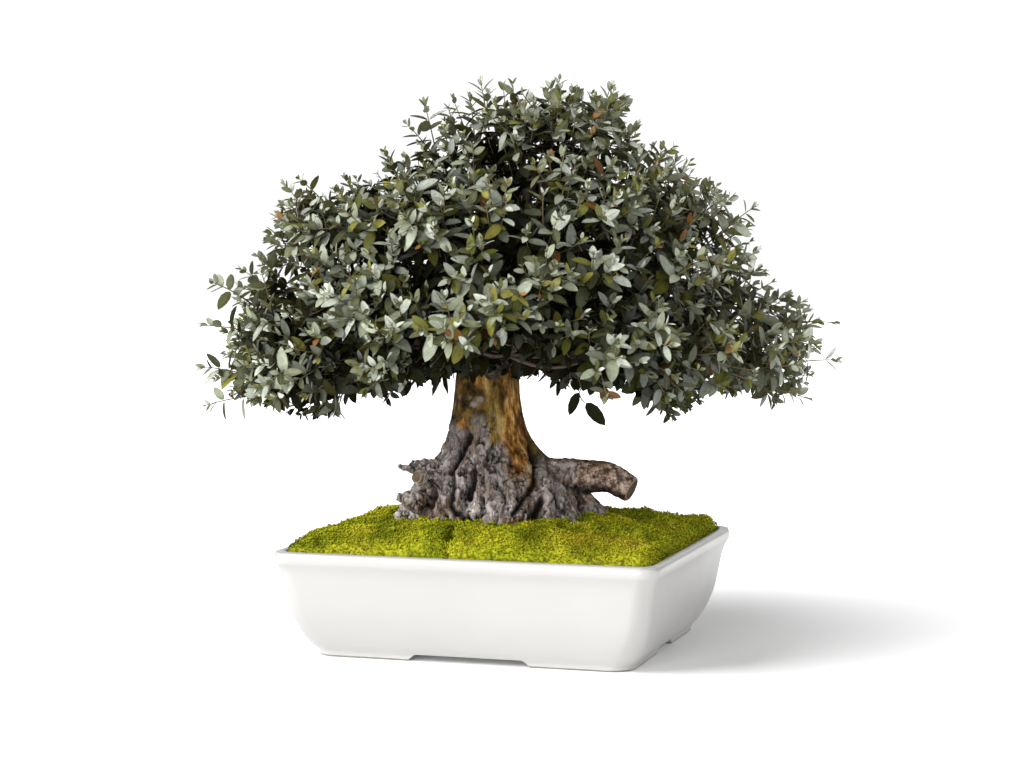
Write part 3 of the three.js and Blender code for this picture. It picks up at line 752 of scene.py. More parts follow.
def add_tufts(batch, ground, up, painted_shading, rng):
    """Small three-sided shoots, widest above their middle."""
    count = len(ground)
    side = unit(np.cross(up, rng.normal(size=(count, 3))))
    other = np.cross(up, side)
    tall = rng.uniform(1.5, 3.3, count)[:, None]
    wide = rng.uniform(0.55, 1.05, count)[:, None]
    corners = [side, -0.5 * side + 0.87 * other, -0.5 * side - 0.87 * other]
    waist = [ground + up * tall * rng.uniform(0.5, 0.75, (count, 1)) + c * wide for c in corners]
    tip = ground + up * tall + side * rng.uniform(-0.6, 0.6, (count, 1))
    points = np.stack([ground, *waist, tip], 1).reshape(-1, 3)
    shape = []
    for i in (1, 2, 3):
        j = i % 3 + 1
        shape += [(0, j, i), (i, j, 4)]
    faces = (np.array(shape)[None] + 5 * np.arange(count)[:, None, None]).reshape(-1, 3)
    # painted shade: each shoot is darkest at its foot and lightest at its tip
    shades = np.array([0.25, 0.8, 0.8, 0.8, 1.0])[None] * painted_shading[:, None]
    batch.add(points, faces, shades.ravel())


make_moss()
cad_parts["soil"].data.materials[0] = SOIL
for net in ("drain_net_left", "drain_net_right"):
    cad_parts[net].data.materials[0] = NETTING

# Wood: the same drawing as the solid, with finer steps
TURN = 0.3
# Height, half width, half depth and sideways offset
TRUNK = [
    (56, 40, 32, -8), (84, 76, 60, -6), (106, 96, 75, -7), (119, 94, 73, -7), (135, 84, 65, -10),
    (150, 73, 57, -13), (163, 61, 49, -16), (178, 48, 41, -19), (196, 38, 35, -21), (228, 31, 29, -22),
    (262, 29, 27, -21), (300, 24, 23, -17), (350, 17, 17, -9), (440, 7, 7, 0),
]
TRUNK_HEIGHTS = [*range(84, 216, 4), *range(216, 440, 9), 440]
# Direction in degrees, width and strength of each buttress
FLUTES = [
    (2, 20, 1), (48, 18, 0.7), (92, 20, 0.9), (135, 17, 0.6),
    (182, 18, 1), (222, 15, 0.75), (262, 17, 0.85), (308, 17, 0.7),
]
# Route and radii of the sawn limb, the sawn stub and two broken spurs
STUMPS = [
    ([(12, 12, 148), (50, 4, 155), (87, -9, 157), (113, -20, 146)], [24, 18.5, 14.6, 12.4]),
    ([(-60, -22, 152), (-75, -44, 158), (-86, -60, 162)], [12, 8, 6.2]),
    ([(-56, -8, 156), (-78, -18, 165), (-104, -26, 168)], [14, 9, 2.2]),
    ([(-70, -22, 130), (-90, -34, 137), (-105, -40, 142)], [13, 9, 3.0]),
]
SAWN = 2
STUMP_STEPS = 24
STUMP_SIDES = 28
TIERS = [
    {"name": "low", "count": 8, "ring": 190, "height": 285, "first": 0, "fork": 256, "out": 20, "limb": 8},
    {"name": "mid", "count": 6, "ring": 118, "height": 385, "first": 28, "fork": 306, "out": 13, "limb": 7.5},
    {"name": "top", "count": 3, "ring": 48, "height": 455, "first": 75, "fork": 366, "out": 6, "limb": 6},
]
CROWN_MIDDLE = (2, 0)
SQUASH = 0.87
FORK_STEP = 9
LIMB_END = 0.22
LIMB_STEPS = 14
# the crown's limbs get painted shade, as they lie inside the crown
LIMB_VALUES = [0.4, 0.0, 0.0, 0.75, 0.0, 0.0]  # smooth, orange, pale, painted shade, tan, limb
VOXEL = 1.42

# Heights of the bark's relief: on the rough bark, on both and on the smooth bark
RELIEF = {
    "lumps": 1.9, "crumbs": 1.8, "fissures": 3.6, "pits": 2.0,
    "grooves": 1.15,
    "waves": 0.7, "fine": 0.25,
}
SMOOTH_FROM = {"height": 186, "wavy": 13, "left": 20, "right": 12}  # where the smooth upper bark starts
LIMB_FROM = {"across": (52, 66), "up": (126, 136)}  # where the sawn limb's own bark starts
PAINTED_SHADE_UP = (250, 280)  # painted shade darkens the trunk above this, inside the crown
# Hollows in the bark as seen from the front: route across and up, half width, depth
GROOVES = [
    ([(-39, 196), (-43, 186), (-50, 174), (-55, 165)], 3.2, 7.5),
    ([(-35, 166), (-36, 156), (-38, 148), (-39, 143)], 3.0, 8.5),
    ([(-14, 190), (-20, 180), (-26, 170), (-27, 156)], 1.8, 4.5),
    ([(20, 186), (24, 170), (20, 152), (12, 138), (3, 130)], 2.6, 6.5),
    ([(-53, 166), (-52, 152), (-55, 138), (-50, 128)], 2.4, 6.0),
    ([(28, 138), (24, 130), (22, 122)], 3.6, 8.0),
    ([(40, 150), (44, 140), (42, 126)], 2.6, 5.0),
    ([(-72, 156), (-70, 142), (-76, 130), (-74, 118)], 2.6, 5.5),
    ([(-28, 144), (-26, 134), (-30, 122)], 2.2, 5.0),
    ([(-8, 152), (-4, 140), (-8, 128)], 1.6, 3.6),
    ([(60, 146), (66, 136), (64, 124)], 2.4, 5.0),
    ([(-46, 128), (-40, 122), (-30, 119)], 2.8, 6.0),
]
# Patches: across, up, half width, half height
ORANGE_PATCHES = [
    (3, 214, 12, 34), (7, 178, 10, 18), (-24, 250, 14, 8), (2, 122, 9, 6), (-44, 120, 7, 5),
    (-43, 206, 6, 3.5),
]
TAN_PATCHES = [(-17, 236, 6, 24), (-14, 205, 8, 16), (-18, 166, 7, 14), (20, 160, 4, 12)]
PALE_PATCHES = [
    (-51, 191, 7, 15), (-35, 227, 3.4, 3), (-29, 232, 3.2, 3), (-25, 201, 4.5, 8), (-17, 166, 7, 16),
    (-10, 146, 6, 7),
]


def turned(points):
    points = np.asarray(points, float)
    c, s = math.cos(TURN), math.sin(TURN)
    across, back, up = points[..., 0], points[..., 1], points[..., 2]
    return np.stack([across * c - back * s, across * s + back * c, up], -1)


def flute_at(degrees):
    most = np.zeros_like(degrees)
    for direction, width, strength in FLUTES:
        away = (degrees - direction + 540) % 360 - 180
        most = np.maximum(most, strength * np.exp(-((away / width) ** 2)))
    return most


def trunk_rings():
    degrees = np.arange(0, 360, 3.0)
    angle = np.radians(degrees)
    rings = []
    for z in TRUNK_HEIGHTS:
        half_across, half_back, offset = smooth_table(TRUNK, z)
        spread = np.clip((215 - z) / 90, 0, 1)
        depth = 0.05 + 0.21 * spread
        swell = 1 + depth * (flute_at(degrees + 8 * math.sin(z / 30)) - 0.62)
        across = offset + half_across * swell * np.cos(angle)
        back = half_back * swell * np.sin(angle)
        rings.append(turned(np.stack([across, back, np.full_like(angle, z)], 1)))
    return rings


def spline(route, steps):
    """Points on a smooth curve through a route."""
    at = np.linspace(0, len(route) - 1, steps + 1)
    rows = [(i, *p) for i, p in enumerate(route)]
    return smooth_table(rows, at)


def trunk_middle(z):
    offset = smooth_table(TRUNK, z)[..., 2]
    return turned([offset, 0, z])


def cloud_at(tier, angle, fork):
    """Where a cluster of foliage has its middle, and where its limb starts and ends."""
    level = tier["ring"] * math.cos(angle), SQUASH * tier["ring"] * math.sin(angle)
    middle = turned([*level, tier["height"]])
    middle[:2] += CROWN_MIDDLE
    start = trunk_middle(fork)
    start = start + unit((middle - start) * [1, 1, 0]) * tier["out"]
    end = middle + (start - middle) * LIMB_END
    return {"middle": middle, "start": start, "end": end, "limb": tier["limb"]}


def cloud_list():
    clouds = []
    for tier in TIERS:
        for i in range(tier["count"]):
            angle = math.radians(tier["first"] + 360 * i / tier["count"])
            fork = tier["fork"] + (len(clouds) % 3) * FORK_STEP
            clouds.append({"name": f"{tier['name']}_{i + 1}", **cloud_at(tier, angle, fork)})
    return clouds


CLOUDS = cloud_list()


def stump_path(route):
    return turned(spline(route, STUMP_STEPS))


def sawn_ends():
    """Place, direction and radius of each sawn end."""
    ends = []
    for route, radii in STUMPS[:SAWN]:
        path = stump_path(route)
        ends.append((path[-1], unit(path[-1] - path[-2]), radii[-1]))
    return ends


def grooves_at(across, up):
    depth = np.zeros_like(across)
    for route, half, deep in GROOVES:
        depth = np.maximum(depth, deep * np.exp(-((to_route(route, across, up) / half) ** 2)))
    return depth


def patches_at(patches, across, up, blur):
    most = np.zeros_like(across)
    for u, z, half_across, half_up in patches:
        away = np.hypot((across - u) / half_across, (up - z) / half_up)
        most = np.maximum(most, 1 - smoothstep(1 - blur, 1 + blur, away))
    return most


def base_mesh():
    """The trunk, its buttresses and its sawn limbs as one evenly meshed skin."""
    batch = Batch()
    points, faces = skin(trunk_rings())
    batch.add(points, faces, np.zeros(len(points)))
    for route, radii in STUMPS:
        steps = np.linspace(0, len(radii) - 1, STUMP_STEPS + 1)
        sizes = smooth_table(list(enumerate(radii)), steps)[:, 0]
        points, faces = skin(round_rings(stump_path(route), sizes, STUMP_SIDES))
        batch.add(points, faces, np.zeros(len(points)))
    points, faces, _ = batch.arrays()
    piece = new_piece("base", points, faces, BARK)
    remesh = piece.modifiers.new("even", "REMESH")
    remesh.mode = "VOXEL"
    remesh.voxel_size = VOXEL * MM
    remesh.use_smooth_shade = True
    settle(piece)
    mesh = piece.data
    points = np.empty(len(mesh.vertices) * 3, np.float32)
    normals = np.empty_like(points)
    mesh.vertices.foreach_get("co", points)
    mesh.vertex_normals.foreach_get("vector", normals)
    mesh.calc_loop_triangles()
    faces = np.empty(len(mesh.loop_triangles) * 3, np.int32)
    mesh.loop_triangles.foreach_get("vertices", faces)
    bpy.data.objects.remove(piece)
    bpy.data.meshes.remove(mesh)
    return points.reshape(-1, 3) / MM, normals.reshape(-1, 3), faces.reshape(-1, 3)


def smooth_share(points):
    """From 0 on the rough lower bark to 1 on the smooth bark above."""
    across = points @ RIGHT
    border = SMOOTH_FROM["height"] + SMOOTH_FROM["wavy"] * fractal(points, 26, 3)
    border = border + SMOOTH_FROM["left"] * smoothstep(-45, -25, -np.abs(across + 42))
    border = border - SMOOTH_FROM["right"] * smoothstep(-10, 12, across)
    return smoothstep(-9, 9, points[:, 2] - border)


def off_sawn_ends(points):
    """1 on the bark and 0 on the sawn ends, which stay flat."""
    share = np.ones(len(points))
    for place, way, radius in sawn_ends():
        near = np.linalg.norm(points - place, axis=1) < 2.2 * radius
        share = np.where(near, smoothstep(-0.6, -3.0, (points - place) @ way), share)
    return share


def bark_values(points, warp, smooth_zone, facing):
    """Shares of orange, pale and tan bark."""
    across, up = points @ RIGHT, points[:, 2]
    freckle = fractal(points, 9, 3)
    orange = patches_at(ORANGE_PATCHES, across + 5 * warp[:, 0], up + 9 * warp[:, 2], 0.45) * facing
    turn_share = smoothstep(-0.1, 0.5, fractal(points * [1, 1, 0.4] + 40, 19, 3))
    orange = np.maximum(orange * smoothstep(-0.55, 0.15, freckle + 0.25), smooth_zone * turn_share * 0.45)
    tan = patches_at(TAN_PATCHES, across + 2 * warp[:, 0], up + 4 * warp[:, 2], 0.4) * facing
    pale = patches_at(PALE_PATCHES, across + 2 * warp[:, 1], up + 3 * warp[:, 0], 0.35) * facing
    flecks = smoothstep(0.48, 0.62, fractal(points + 900, 7, 2)) * smooth_zone * 0.35
    return orange, np.maximum(pale, flecks), tan


def carved(points, normals):
    """The skin with its bark's relief, and for each point its zones, painted shade, tan and limb values."""
    across, up = points @ RIGHT, points[:, 2]
    facing = smoothstep(0.0, 0.35, -(normals @ BEHIND))
    smooth_zone = smooth_share(points)
    warp = np.stack([fractal(points + shift, 30, 2) for shift in (0.0, 170.0, 390.0)], 1)
    tall = (points + 7 * warp) * [1.0, 1.0, 0.30]
    long_waves = fractal(tall, 11, 3)
    fissure = smoothstep(0.72, 1.0, 1 - np.abs(long_waves) * 2.4)
    lumps = fractal((points + 4 * warp) * [1.0, 1.0, 0.7], 12, 4)
    crumbs = fractal(points + 300, 4.4, 4)
    pits = smoothstep(0.18, 0.75, -fractal(points + 700, 6.5, 3))
    on_limb = smoothstep(*LIMB_FROM["across"], across) * smoothstep(*LIMB_FROM["up"], up)
    rugged = (1 - smooth_zone) * (1 - 0.75 * on_limb)
    groove = grooves_at(across + 1.5 * warp[:, 0], up + 1.5 * warp[:, 1]) * facing
    rough = RELIEF["lumps"] * lumps + RELIEF["crumbs"] * crumbs - RELIEF["fissures"] * fissure
    lift = rugged * (rough - RELIEF["pits"] * pits) - RELIEF["grooves"] * groove
    lift += (1 - rugged) * (RELIEF["waves"] * long_waves + RELIEF["fine"] * crumbs)
    moved = points + normals * (lift * off_sawn_ends(points))[:, None]

    # painted shade in fissures, pits and grooves, on the trunk inside the crown and on the sawn limb's
    # underside
    dark = rugged * (fissure + 0.55 * pits) + groove / 6.0 + smoothstep(*PAINTED_SHADE_UP, up)
    painted_underside_shade = on_limb * smoothstep(0.15, -0.75, normals[:, 2]) * 0.85
    painted_shade = np.maximum(np.clip(dark, 0, 1), painted_underside_shade)
    orange, pale, tan = bark_values(points, warp, smooth_zone, facing)
    return moved, np.column_stack([smooth_zone, orange, pale, painted_shade, tan, on_limb])


def crown_limb(cloud):
    """A limb that arches from the trunk into its cluster of foliage."""
    start, end = cloud["start"], cloud["end"]
    bend = (start + end) / 2 + [0, 0, 0.12 * np.linalg.norm(end - start)]
    path = bezier(start, 2 * bend - (start + end) / 2, end, LIMB_STEPS)
    path[1:] += np.stack([4 * fractal(path[1:] + shift, 30, 2) for shift in (0, 60, 120)], 1)
    sizes = [cloud["limb"] * 1.25, cloud["limb"], 4.0]
    return tube(path, np.interp(np.linspace(0, 1, LIMB_STEPS + 1), [0, 0.5, 1], sizes), 12)


def make_wood():
    points, normals, faces = base_mesh()
    points, values = carved(points, normals)
    batch = Batch()
    batch.add(points, faces, values)
    for cloud in CLOUDS:
        points, faces = crown_limb(cloud)
        batch.add(points, faces, np.tile(LIMB_VALUES, (len(points), 1)))
    points, faces, values = batch.arrays()
    piece = new_piece("trunk_and_limbs", points, faces, BARK, slot="bark", replaces=["wood"])
    store(piece.data, "zones", values[:, :3])
    # column 3 is the painted shade
    for name, column in (("painted_shade", 3), ("tan", 4), ("limb", 5)):
        store(piece.data, name, values[:, column])
    make_cut_faces()


SAWN_SHADES = [
    ((0.120, 0.072, 0.036), (0.034, 0.019, 0.010)),
    ((0.16, 0.105, 0.058), (0.05, 0.030, 0.016)),
]  # pale, dark
SAWN_RINGS = [(1.0, -1.2), (0.97, 0.05), (0.9, 0.45), (0.6, 0.35), (0.3, 0.2), (0.06, 0.1)]  # share, height


def make_cut_faces():
    """A slightly domed, uneven face on each sawn end."""
    angle = np.linspace(0, 2 * math.pi, 49)[:-1]
    wobble = 1 + 0.035 * np.sin(3 * angle + 1) + 0.02 * np.sin(7 * angle)
    for number, ((place, way, radius), (pale, dark)) in enumerate(zip(sawn_ends(), SAWN_SHADES), 1):
        side = unit(np.cross(way, UP))
        other = np.cross(way, side)
        spokes = np.cos(angle)[:, None] * side + np.sin(angle)[:, None] * other
        rings, shade = [], []
        for share, out in SAWN_RINGS:
            rings.append(place + way * out + (share * (radius - 0.7) * wobble)[:, None] * spokes)
            shade += [share] * len(angle)
        finish = cut_material(f"sawn_wood_{number}", pale, dark)
        piece = new_piece(f"sawn_face_{number}", *skin(rings), finish, slot="bark")
        store(piece.data, "ring", [*shade, 0.5, 0.0])


make_wood()

# Crown
# Height, half width and sideways offset of the dome that the leaf tips reach
OUTLINE = [
    (214, 200, -20), (222, 246, -14), (232, 276, -4), (250, 292, 6), (275, 294, 9), (295, 290, 7),
    (313, 283, 8), (332, 268, 2), (351, 256, -3), (370, 240, 1), (388, 231, -1), (407, 226, -3),
    (426, 221, -3), (445, 186, 0), (463, 142, 20), (482, 110, 24), (501, 98, 27), (515, 86, 33),
    (524, 70, 37), (530, 46, 39), (534, 5, 40),
]
DOME_Z = np.linspace(OUTLINE[0][0], OUTLINE[-1][0], 400)
DOME_HALF, DOME_ASIDE = smooth_table(OUTLINE, DOME_Z).T
DOME_SLOPE = np.gradient(DOME_HALF, DOME_Z)
# How far the dome's rim rises in front and behind
ARCH = {"least": 30, "most": 64, "u": -22, "half": 75, "top": 350, "fade": 115}
HUB = (0, 0, 285)
TOP = 532

GOLDEN = 2.39996  # radians
CLUMPS = 168
SHOOTS = 6
FEW_SHOOTS = 4
RAGGED = {"right": 205, "below": 330}  # where clumps have few shoots
INNER = [
    {"count": 80, "least": 34, "most": 58},
    {"count": 40, "least": 75, "most": 110},
]
UNDER_CLUMPS = 40
# The crown's underside: middle, half width, height there, fall to its rim and rise in front and behind
UNDERSIDE = {"u": -6, "half": 232, "height": 268, "fall": 38, "arch": 58}
# Places of more clumps in front: across and up
SPOTS = [
    (-150, 408), (-182, 372), (-128, 372), (-206, 398), (-92, 400), (-160, 335),
    (176, 372), (96, 420), (38, 362), (8, 508), (46, 519), (80, 500),
]
# Base and tip of single shoots at the outline
LONE_SPRIGS = [
    ((-66, -20, 446), (-80, -24, 507)), ((-58, -30, 440), (-97, -30, 487)),
    ((-160, -30, 400), (-196, -34, 436)), ((190, -30, 380), (226, -34, 410)),
    ((130, -20, 440), (152, -20, 466)), ((250, -20, 300), (302, -24, 302)),
    ((246, -30, 262), (303, -34, 268)), ((-240, -30, 320), (-276, -34, 340)),
    ((-236, -30, 292), (-286, -34, 300)), ((-230, -30, 250), (-288, -34, 262)),
    ((-226, -40, 236), (-283, -40, 226)), ((220, -40, 246), (276, -44, 232)),
    ((60, -20, 478), (104, -24, 512)), ((-20, -20, 480), (-28, -24, 526)),
    ((-50, -20, 470), (-58, -24, 502)),
]
HANGING = {
    "stem": [(58, -150, 262), (62, -152, 250), (60, -153, 245), (62, -154, 240), (65, -154, 237)],
    "leaves": [((60, -153, 247), (51, -155, 226)), ((65, -154, 238), (83, -156, 217))],
}

SHOOT = {"length": 64, "vary": 16, "spread": 30, "stem": 0.8, "stem_tip": 0.35, "steps": 5}
# Distance from the tip and leaf length of each pair
PAIRS = [(2, 6.5), (5.5, 10), (10.5, 14.5), (17, 19), (24.5, 22), (33, 23.5), (42, 24), (52, 23)]
LEAF_SHAPE = {"fold": 0.10, "thick": 0.26, "stalk": 0.06}
LEAF_ROWS = [(0.10, 0.30), (0.33, 0.49), (0.62, 0.46), (0.85, 0.27)]  # along, half width
PLAIN_ROWS = [(0.28, 0.46), (0.70, 0.42)]
GREEN_END = 0.80  # tints above this are olive or rust
RUST = {"share": 0.018, "tints": (0.955, 1.0)}
OLIVE = {"share": 0.15, "tints": (0.84, 0.93)}  # the share holds the rust leaves too
# painted light: outer leaves towards the crown's right, away from the key light, get lighter tints
PAINTED_LIGHT_RIGHT = {"from": 60, "to": 220, "lighter": 0.09, "depth": 0.3}
MISSING = {"least": 0.06, "each_pair": 0.025}  # share of leaves that are gone
DEEP = 0.6  # clumps deeper than this share have plain leaves


def dome_samples(count, rng):
    """Points spread over the dome by area, with the outward direction at each."""
    area = DOME_HALF * np.sqrt(1 + DOME_SLOPE**2)
    share = np.cumsum(area) / area.sum()
    level = np.interp((np.arange(count) + 0.5) / count, share, DOME_Z)
    angle = (np.arange(count) * GOLDEN + rng.normal(0, 0.05, count)) % (2 * math.pi)
    return dome_point(level, angle)


def dome_point(level, angle):
    """Points on the dome at a level and an angle round it, and the outward directions there."""
    reach = np.interp(level, DOME_Z, DOME_HALF)
    u = np.interp(level, DOME_Z, DOME_ASIDE) + reach * np.cos(angle)
    v = SQUASH * reach * np.sin(angle)
    most = ARCH["least"] + (ARCH["most"] - ARCH["least"]) * np.exp(-(((u - ARCH["u"]) / ARCH["half"]) ** 2))
    raised = most * np.sin(angle) ** 2 * np.clip((ARCH["top"] - level) / ARCH["fade"], 0, 1)
    steep = np.clip(np.interp(level, DOME_Z, DOME_SLOPE), -3, 3)
    out = unit(np.stack([np.cos(angle), np.sin(angle) / SQUASH, -steep], 1))
    return placed(u, v, level + raised), unit(placed(*out.T))


def front_point(u, z):
    """A point on the front of the dome and the outward direction there."""
    half, aside = np.interp(z, DOME_Z, DOME_HALF), np.interp(z, DOME_Z, DOME_ASIDE)
    angle = -math.acos(np.clip((u - aside) / half, -1, 1))
    points, normals = dome_point(np.array([z]), np.array([angle]))
    return points[0], normals[0]


def underside_samples(count, rng):
    """Points on the crown's underside, which rises in front and behind, and the directions out of it."""
    reach = np.sqrt(rng.uniform(0.03, 0.8, count))
    angle = (np.arange(count) * GOLDEN) % (2 * math.pi)
    u = UNDERSIDE["u"] + UNDERSIDE["half"] * reach * np.cos(angle)
    v = SQUASH * UNDERSIDE["half"] * reach * np.sin(angle)
    z = UNDERSIDE["height"] - UNDERSIDE["fall"] * reach**1.6
    z = z + UNDERSIDE["arch"] * (reach * np.sin(angle)) ** 2
    out = unit(np.stack([np.cos(angle) * 0.7, np.sin(angle) * 0.7, np.full(count, -0.45)], 1))
    return placed(u, v, z), unit(placed(*out.T))


class Foliage:
    """The leaves and stems of one cluster."""

    def __init__(self, cloud):
        self.name, self.middle, self.limb_end = cloud["name"], cloud["middle"], cloud["end"]
        self.fine, self.plain, self.stems = [], [], Batch()

    def leaf(self, foot, out, face, size, tint, droop, width, plain=False):
        (self.plain if plain else self.fine).append((*foot, *out, *face, size, tint, droop, width))

    def stem(self, path, radii, young):
        points, faces = tube(path, radii, 4)
        shade = np.concatenate([np.repeat(young, 4), [young[0], young[-1]]])
        self.stems.add(points, faces, shade)


def leaf_tint(rng, depth):
    """Mostly grey-green, with painted shade inside the crown, and a few olive and rust leaves."""
    draw = rng.random()
    for kind in (RUST, OLIVE):
        if draw < kind["share"]:
            return rng.uniform(*kind["tints"])
    # painted shade: tints darken with the clump's depth in the crown
    return float(np.clip(rng.beta(1.25, 1.25) * 0.82 - 0.1 * depth, 0.0, GREEN_END))


def grow_leaf(foliage, foot, along, out, length, lighter, depth, rng):
    """One leaf, its face turned up, outwards and towards the stem's tip."""
    out = unit(out + rng.normal(0, 0.16, 3))
    face = unit(0.6 * UP + 0.45 * along + 0.5 * unit(foot - HUB) + rng.normal(0, 0.42, 3))
    size = length * rng.uniform(0.86, 1.12)
    tint = leaf_tint(rng, depth)
    if tint < GREEN_END:
        tint = float(np.clip(sum(lighter, tint), 0, GREEN_END))
    droop, width = rng.uniform(0.02, 0.16), rng.uniform(0.39, 0.54)
    foliage.leaf(foot, out, face, size, tint, droop, width, depth > DEEP)


def grow_shoot(foliage, start, tip, bend, rng, depth=0.0):
    """A bent stem with pairs of leaves, small at its tip, each pair a quarter turn from the last."""
    steps = SHOOT["steps"]
    path = bezier(start, bend, tip, steps)
    length = np.linalg.norm(np.diff(path, axis=0), axis=1).sum()
    radii = np.linspace(SHOOT["stem"], SHOOT["stem_tip"], steps + 1)
    foliage.stem(path, radii, np.linspace(0.1, 0.9, steps + 1))
    along_all = unit(np.gradient(path, axis=0))
    twist = rng.uniform(0, math.pi)
    side = unit(np.cross(along_all[-1], UP + rng.normal(0, 0.2, 3)))
    vigour = rng.uniform(0.82, 1.12)
    tone = rng.normal(0, 0.05)
    # painted light on the crown's right side
    to_right = float(smoothstep(PAINTED_LIGHT_RIGHT["from"], PAINTED_LIGHT_RIGHT["to"], tip @ RIGHT))
    painted_light_right = PAINTED_LIGHT_RIGHT["lighter"] * to_right * (depth < PAINTED_LIGHT_RIGHT["depth"])
    for pair, (stop, leaf_length) in enumerate(PAIRS):
        stop *= 0.9 + 0.25 * vigour
        if stop > length - 6:
            break
        at = (1 - stop / length) * steps
        low = min(int(at), steps - 1)
        foot = path[low] + (path[low + 1] - path[low]) * (at - low)
        along = along_all[low] + (along_all[low + 1] - along_all[low]) * (at - low)
        turn = twist + pair * math.pi / 2 + rng.normal(0, 0.18)
        across = side * math.cos(turn) + np.cross(along, side) * math.sin(turn)
        open_angle = math.radians(24 + 13 * min(pair, 4) + rng.normal(0, 9))
        lighter = (tone if pair > 1 else 0.04, painted_light_right)
        for sign in (-1, 1):
            if rng.random() < MISSING["least"] + MISSING["each_pair"] * pair:
                continue
            out = along * math.cos(open_angle) + sign * across * math.sin(open_angle)
            grow_leaf(foliage, foot, along, out, leaf_length * vigour, lighter, depth, rng)


def blade_outline(rows):
    """Across and along, as shares of the leaf's width and length, of a blade's points from foot to tip."""
    shape = [(0.0, 0.0)]
    for along, half in rows:
        shape += [(-half, along), (0.0, along), (half, along)]
    shape.append((0.0, 1.0))
    return np.array(shape).T


def blade_faces(per):
    """Triangles of a blade's upper side and, turned over, its lower side."""
    top = [(0, 2, 1), (0, 3, 2)]
    for row in range(1, per - 4, 3):
        for a in (row, row + 1):
            top += [(a, a + 1, a + 4), (a, a + 4, a + 3)]
    top += [(per - 4, per - 3, per - 1), (per - 3, per - 2, per - 1)]
    top = np.array(top)
    return np.concatenate([top, top[:, ::-1] + per])


def blade_values(across, along, tint, inside):
    """For each point: its side of the rib, place along it, lower side or not, tint and painted shade for its
    depth in the crown.
    """
    per = len(across)
    blade = np.zeros((len(tint), 2, per, 3))
    blade[..., 0] = np.sign(across)
    blade[..., 1] = along
    blade[:, 1, :, 2] = 1.0
    shade = np.stack([np.repeat(tint, 2 * per), np.repeat(inside, 2 * per)], 1)
    return np.concatenate([blade.reshape(-1, 3), shade], 1)


def leaves_mesh(leaves, rows):
    """Thin arched blades, each with an upper and a lower side."""
    leaves = np.array(leaves).reshape(-1, 13)
    foot, out, face = leaves[:, 0:3], leaves[:, 3:6], leaves[:, 6:9]
    size, tint, droop = leaves[:, 9:10], leaves[:, 10], leaves[:, 11:12]
    width = size * leaves[:, 12:13]
    side = unit(np.cross(out, face))
    face = np.cross(side, out)
    across, along = blade_outline(rows)
    lift = LEAF_SHAPE["fold"] * np.abs(across)[None] * width * 2 - droop * size * along[None] ** 2
    ahead = size * (along * (1 - LEAF_SHAPE["stalk"]) + LEAF_SHAPE["stalk"])[None]
    aside = across[None] * width
    points = foot[:, None] + ahead[..., None] * out[:, None] + aside[..., None] * side[:, None]
    points = points + lift[..., None] * face[:, None]
    under = points - LEAF_SHAPE["thick"] * face[:, None]
    per = len(across)
    faces = (blade_faces(per)[None] + 2 * per * np.arange(len(foot))[:, None, None]).reshape(-1, 3)
    # the last value is painted shade, strongest deep in the crown
    values = blade_values(across, along, tint, crown_painted_shade(foot))
    return np.stack([points, under], 1).reshape(-1, 3), faces, values


def crown_painted_shade(points):
    """Painted shade for the leaves: from 0 at the leafy outside to 1 well inside the crown, weaker towards
    the right.
    """
    u, v, z = points @ RIGHT, points @ BEHIND, points[:, 2]
    level = np.linspace(OUTLINE[3][0], OUTLINE[-1][0], 90)
    table = smooth_table(OUTLINE, level)
    reach = np.hypot(u - np.interp(z, level, table[:, 1]), v / SQUASH)
    apart = np.hypot(reach[:, None] - table[:, 0], z[:, None] - level)
    depth = np.where(reach < np.interp(z, level, table[:, 0]), apart.min(1), 0.0)
    return smoothstep(20, 58, depth) * (1 - 0.4 * smoothstep(60, 200, u))


def nearest(clouds, point):
    middles = np.array([cloud.middle for cloud in clouds])
    return clouds[int(np.argmin(np.linalg.norm((middles - point) * [1, 1, 1.1], axis=1)))]


def grow_clump(foliage, point, normal, rng, inset, shoots, depth=0.0):
    """A small branch from the cluster's limb, and the shoots that fan out of its end."""
    radial = unit(point - np.array(HUB, float))
    heading = unit(0.62 * radial + 0.38 * normal + [0, 0, 0.10])
    length = SHOOT["length"] + rng.uniform(-1, 1) * SHOOT["vary"]
    crown_point = point - normal * inset
    start = crown_point - heading * length
    middle = (foliage.limb_end + start) / 2 + rng.normal(0, 6, 3) + [0, 0, -4]
    foliage.stem(bezier(foliage.limb_end, middle, start, 7), np.linspace(2.4, 1.2, 8), np.zeros(8))
    side = unit(np.cross(heading, UP + rng.normal(0, 0.1, 3)))
    other = np.cross(heading, side)
    first = rng.uniform(0, 2 * math.pi)
    for number in range(shoots):
        angle = first + number * GOLDEN
        spread = SHOOT["spread"] * math.sqrt(number / shoots) * rng.uniform(0.85, 1.3)
        fan = side * math.cos(angle) + other * math.sin(angle)
        lag = rng.uniform(4, 30) if number else 0.0
        tip = crown_point + fan * spread - heading * lag
        tip[2] = min(tip[2], TOP - rng.uniform(0, 3))
        origin = start + heading * (number % 3) * 0.13 * length
        bend = origin + heading * 0.45 * (length - lag) + fan * spread * 0.8 + [0, 0, -3]
        grow_shoot(foliage, origin, tip, bend, rng, depth)


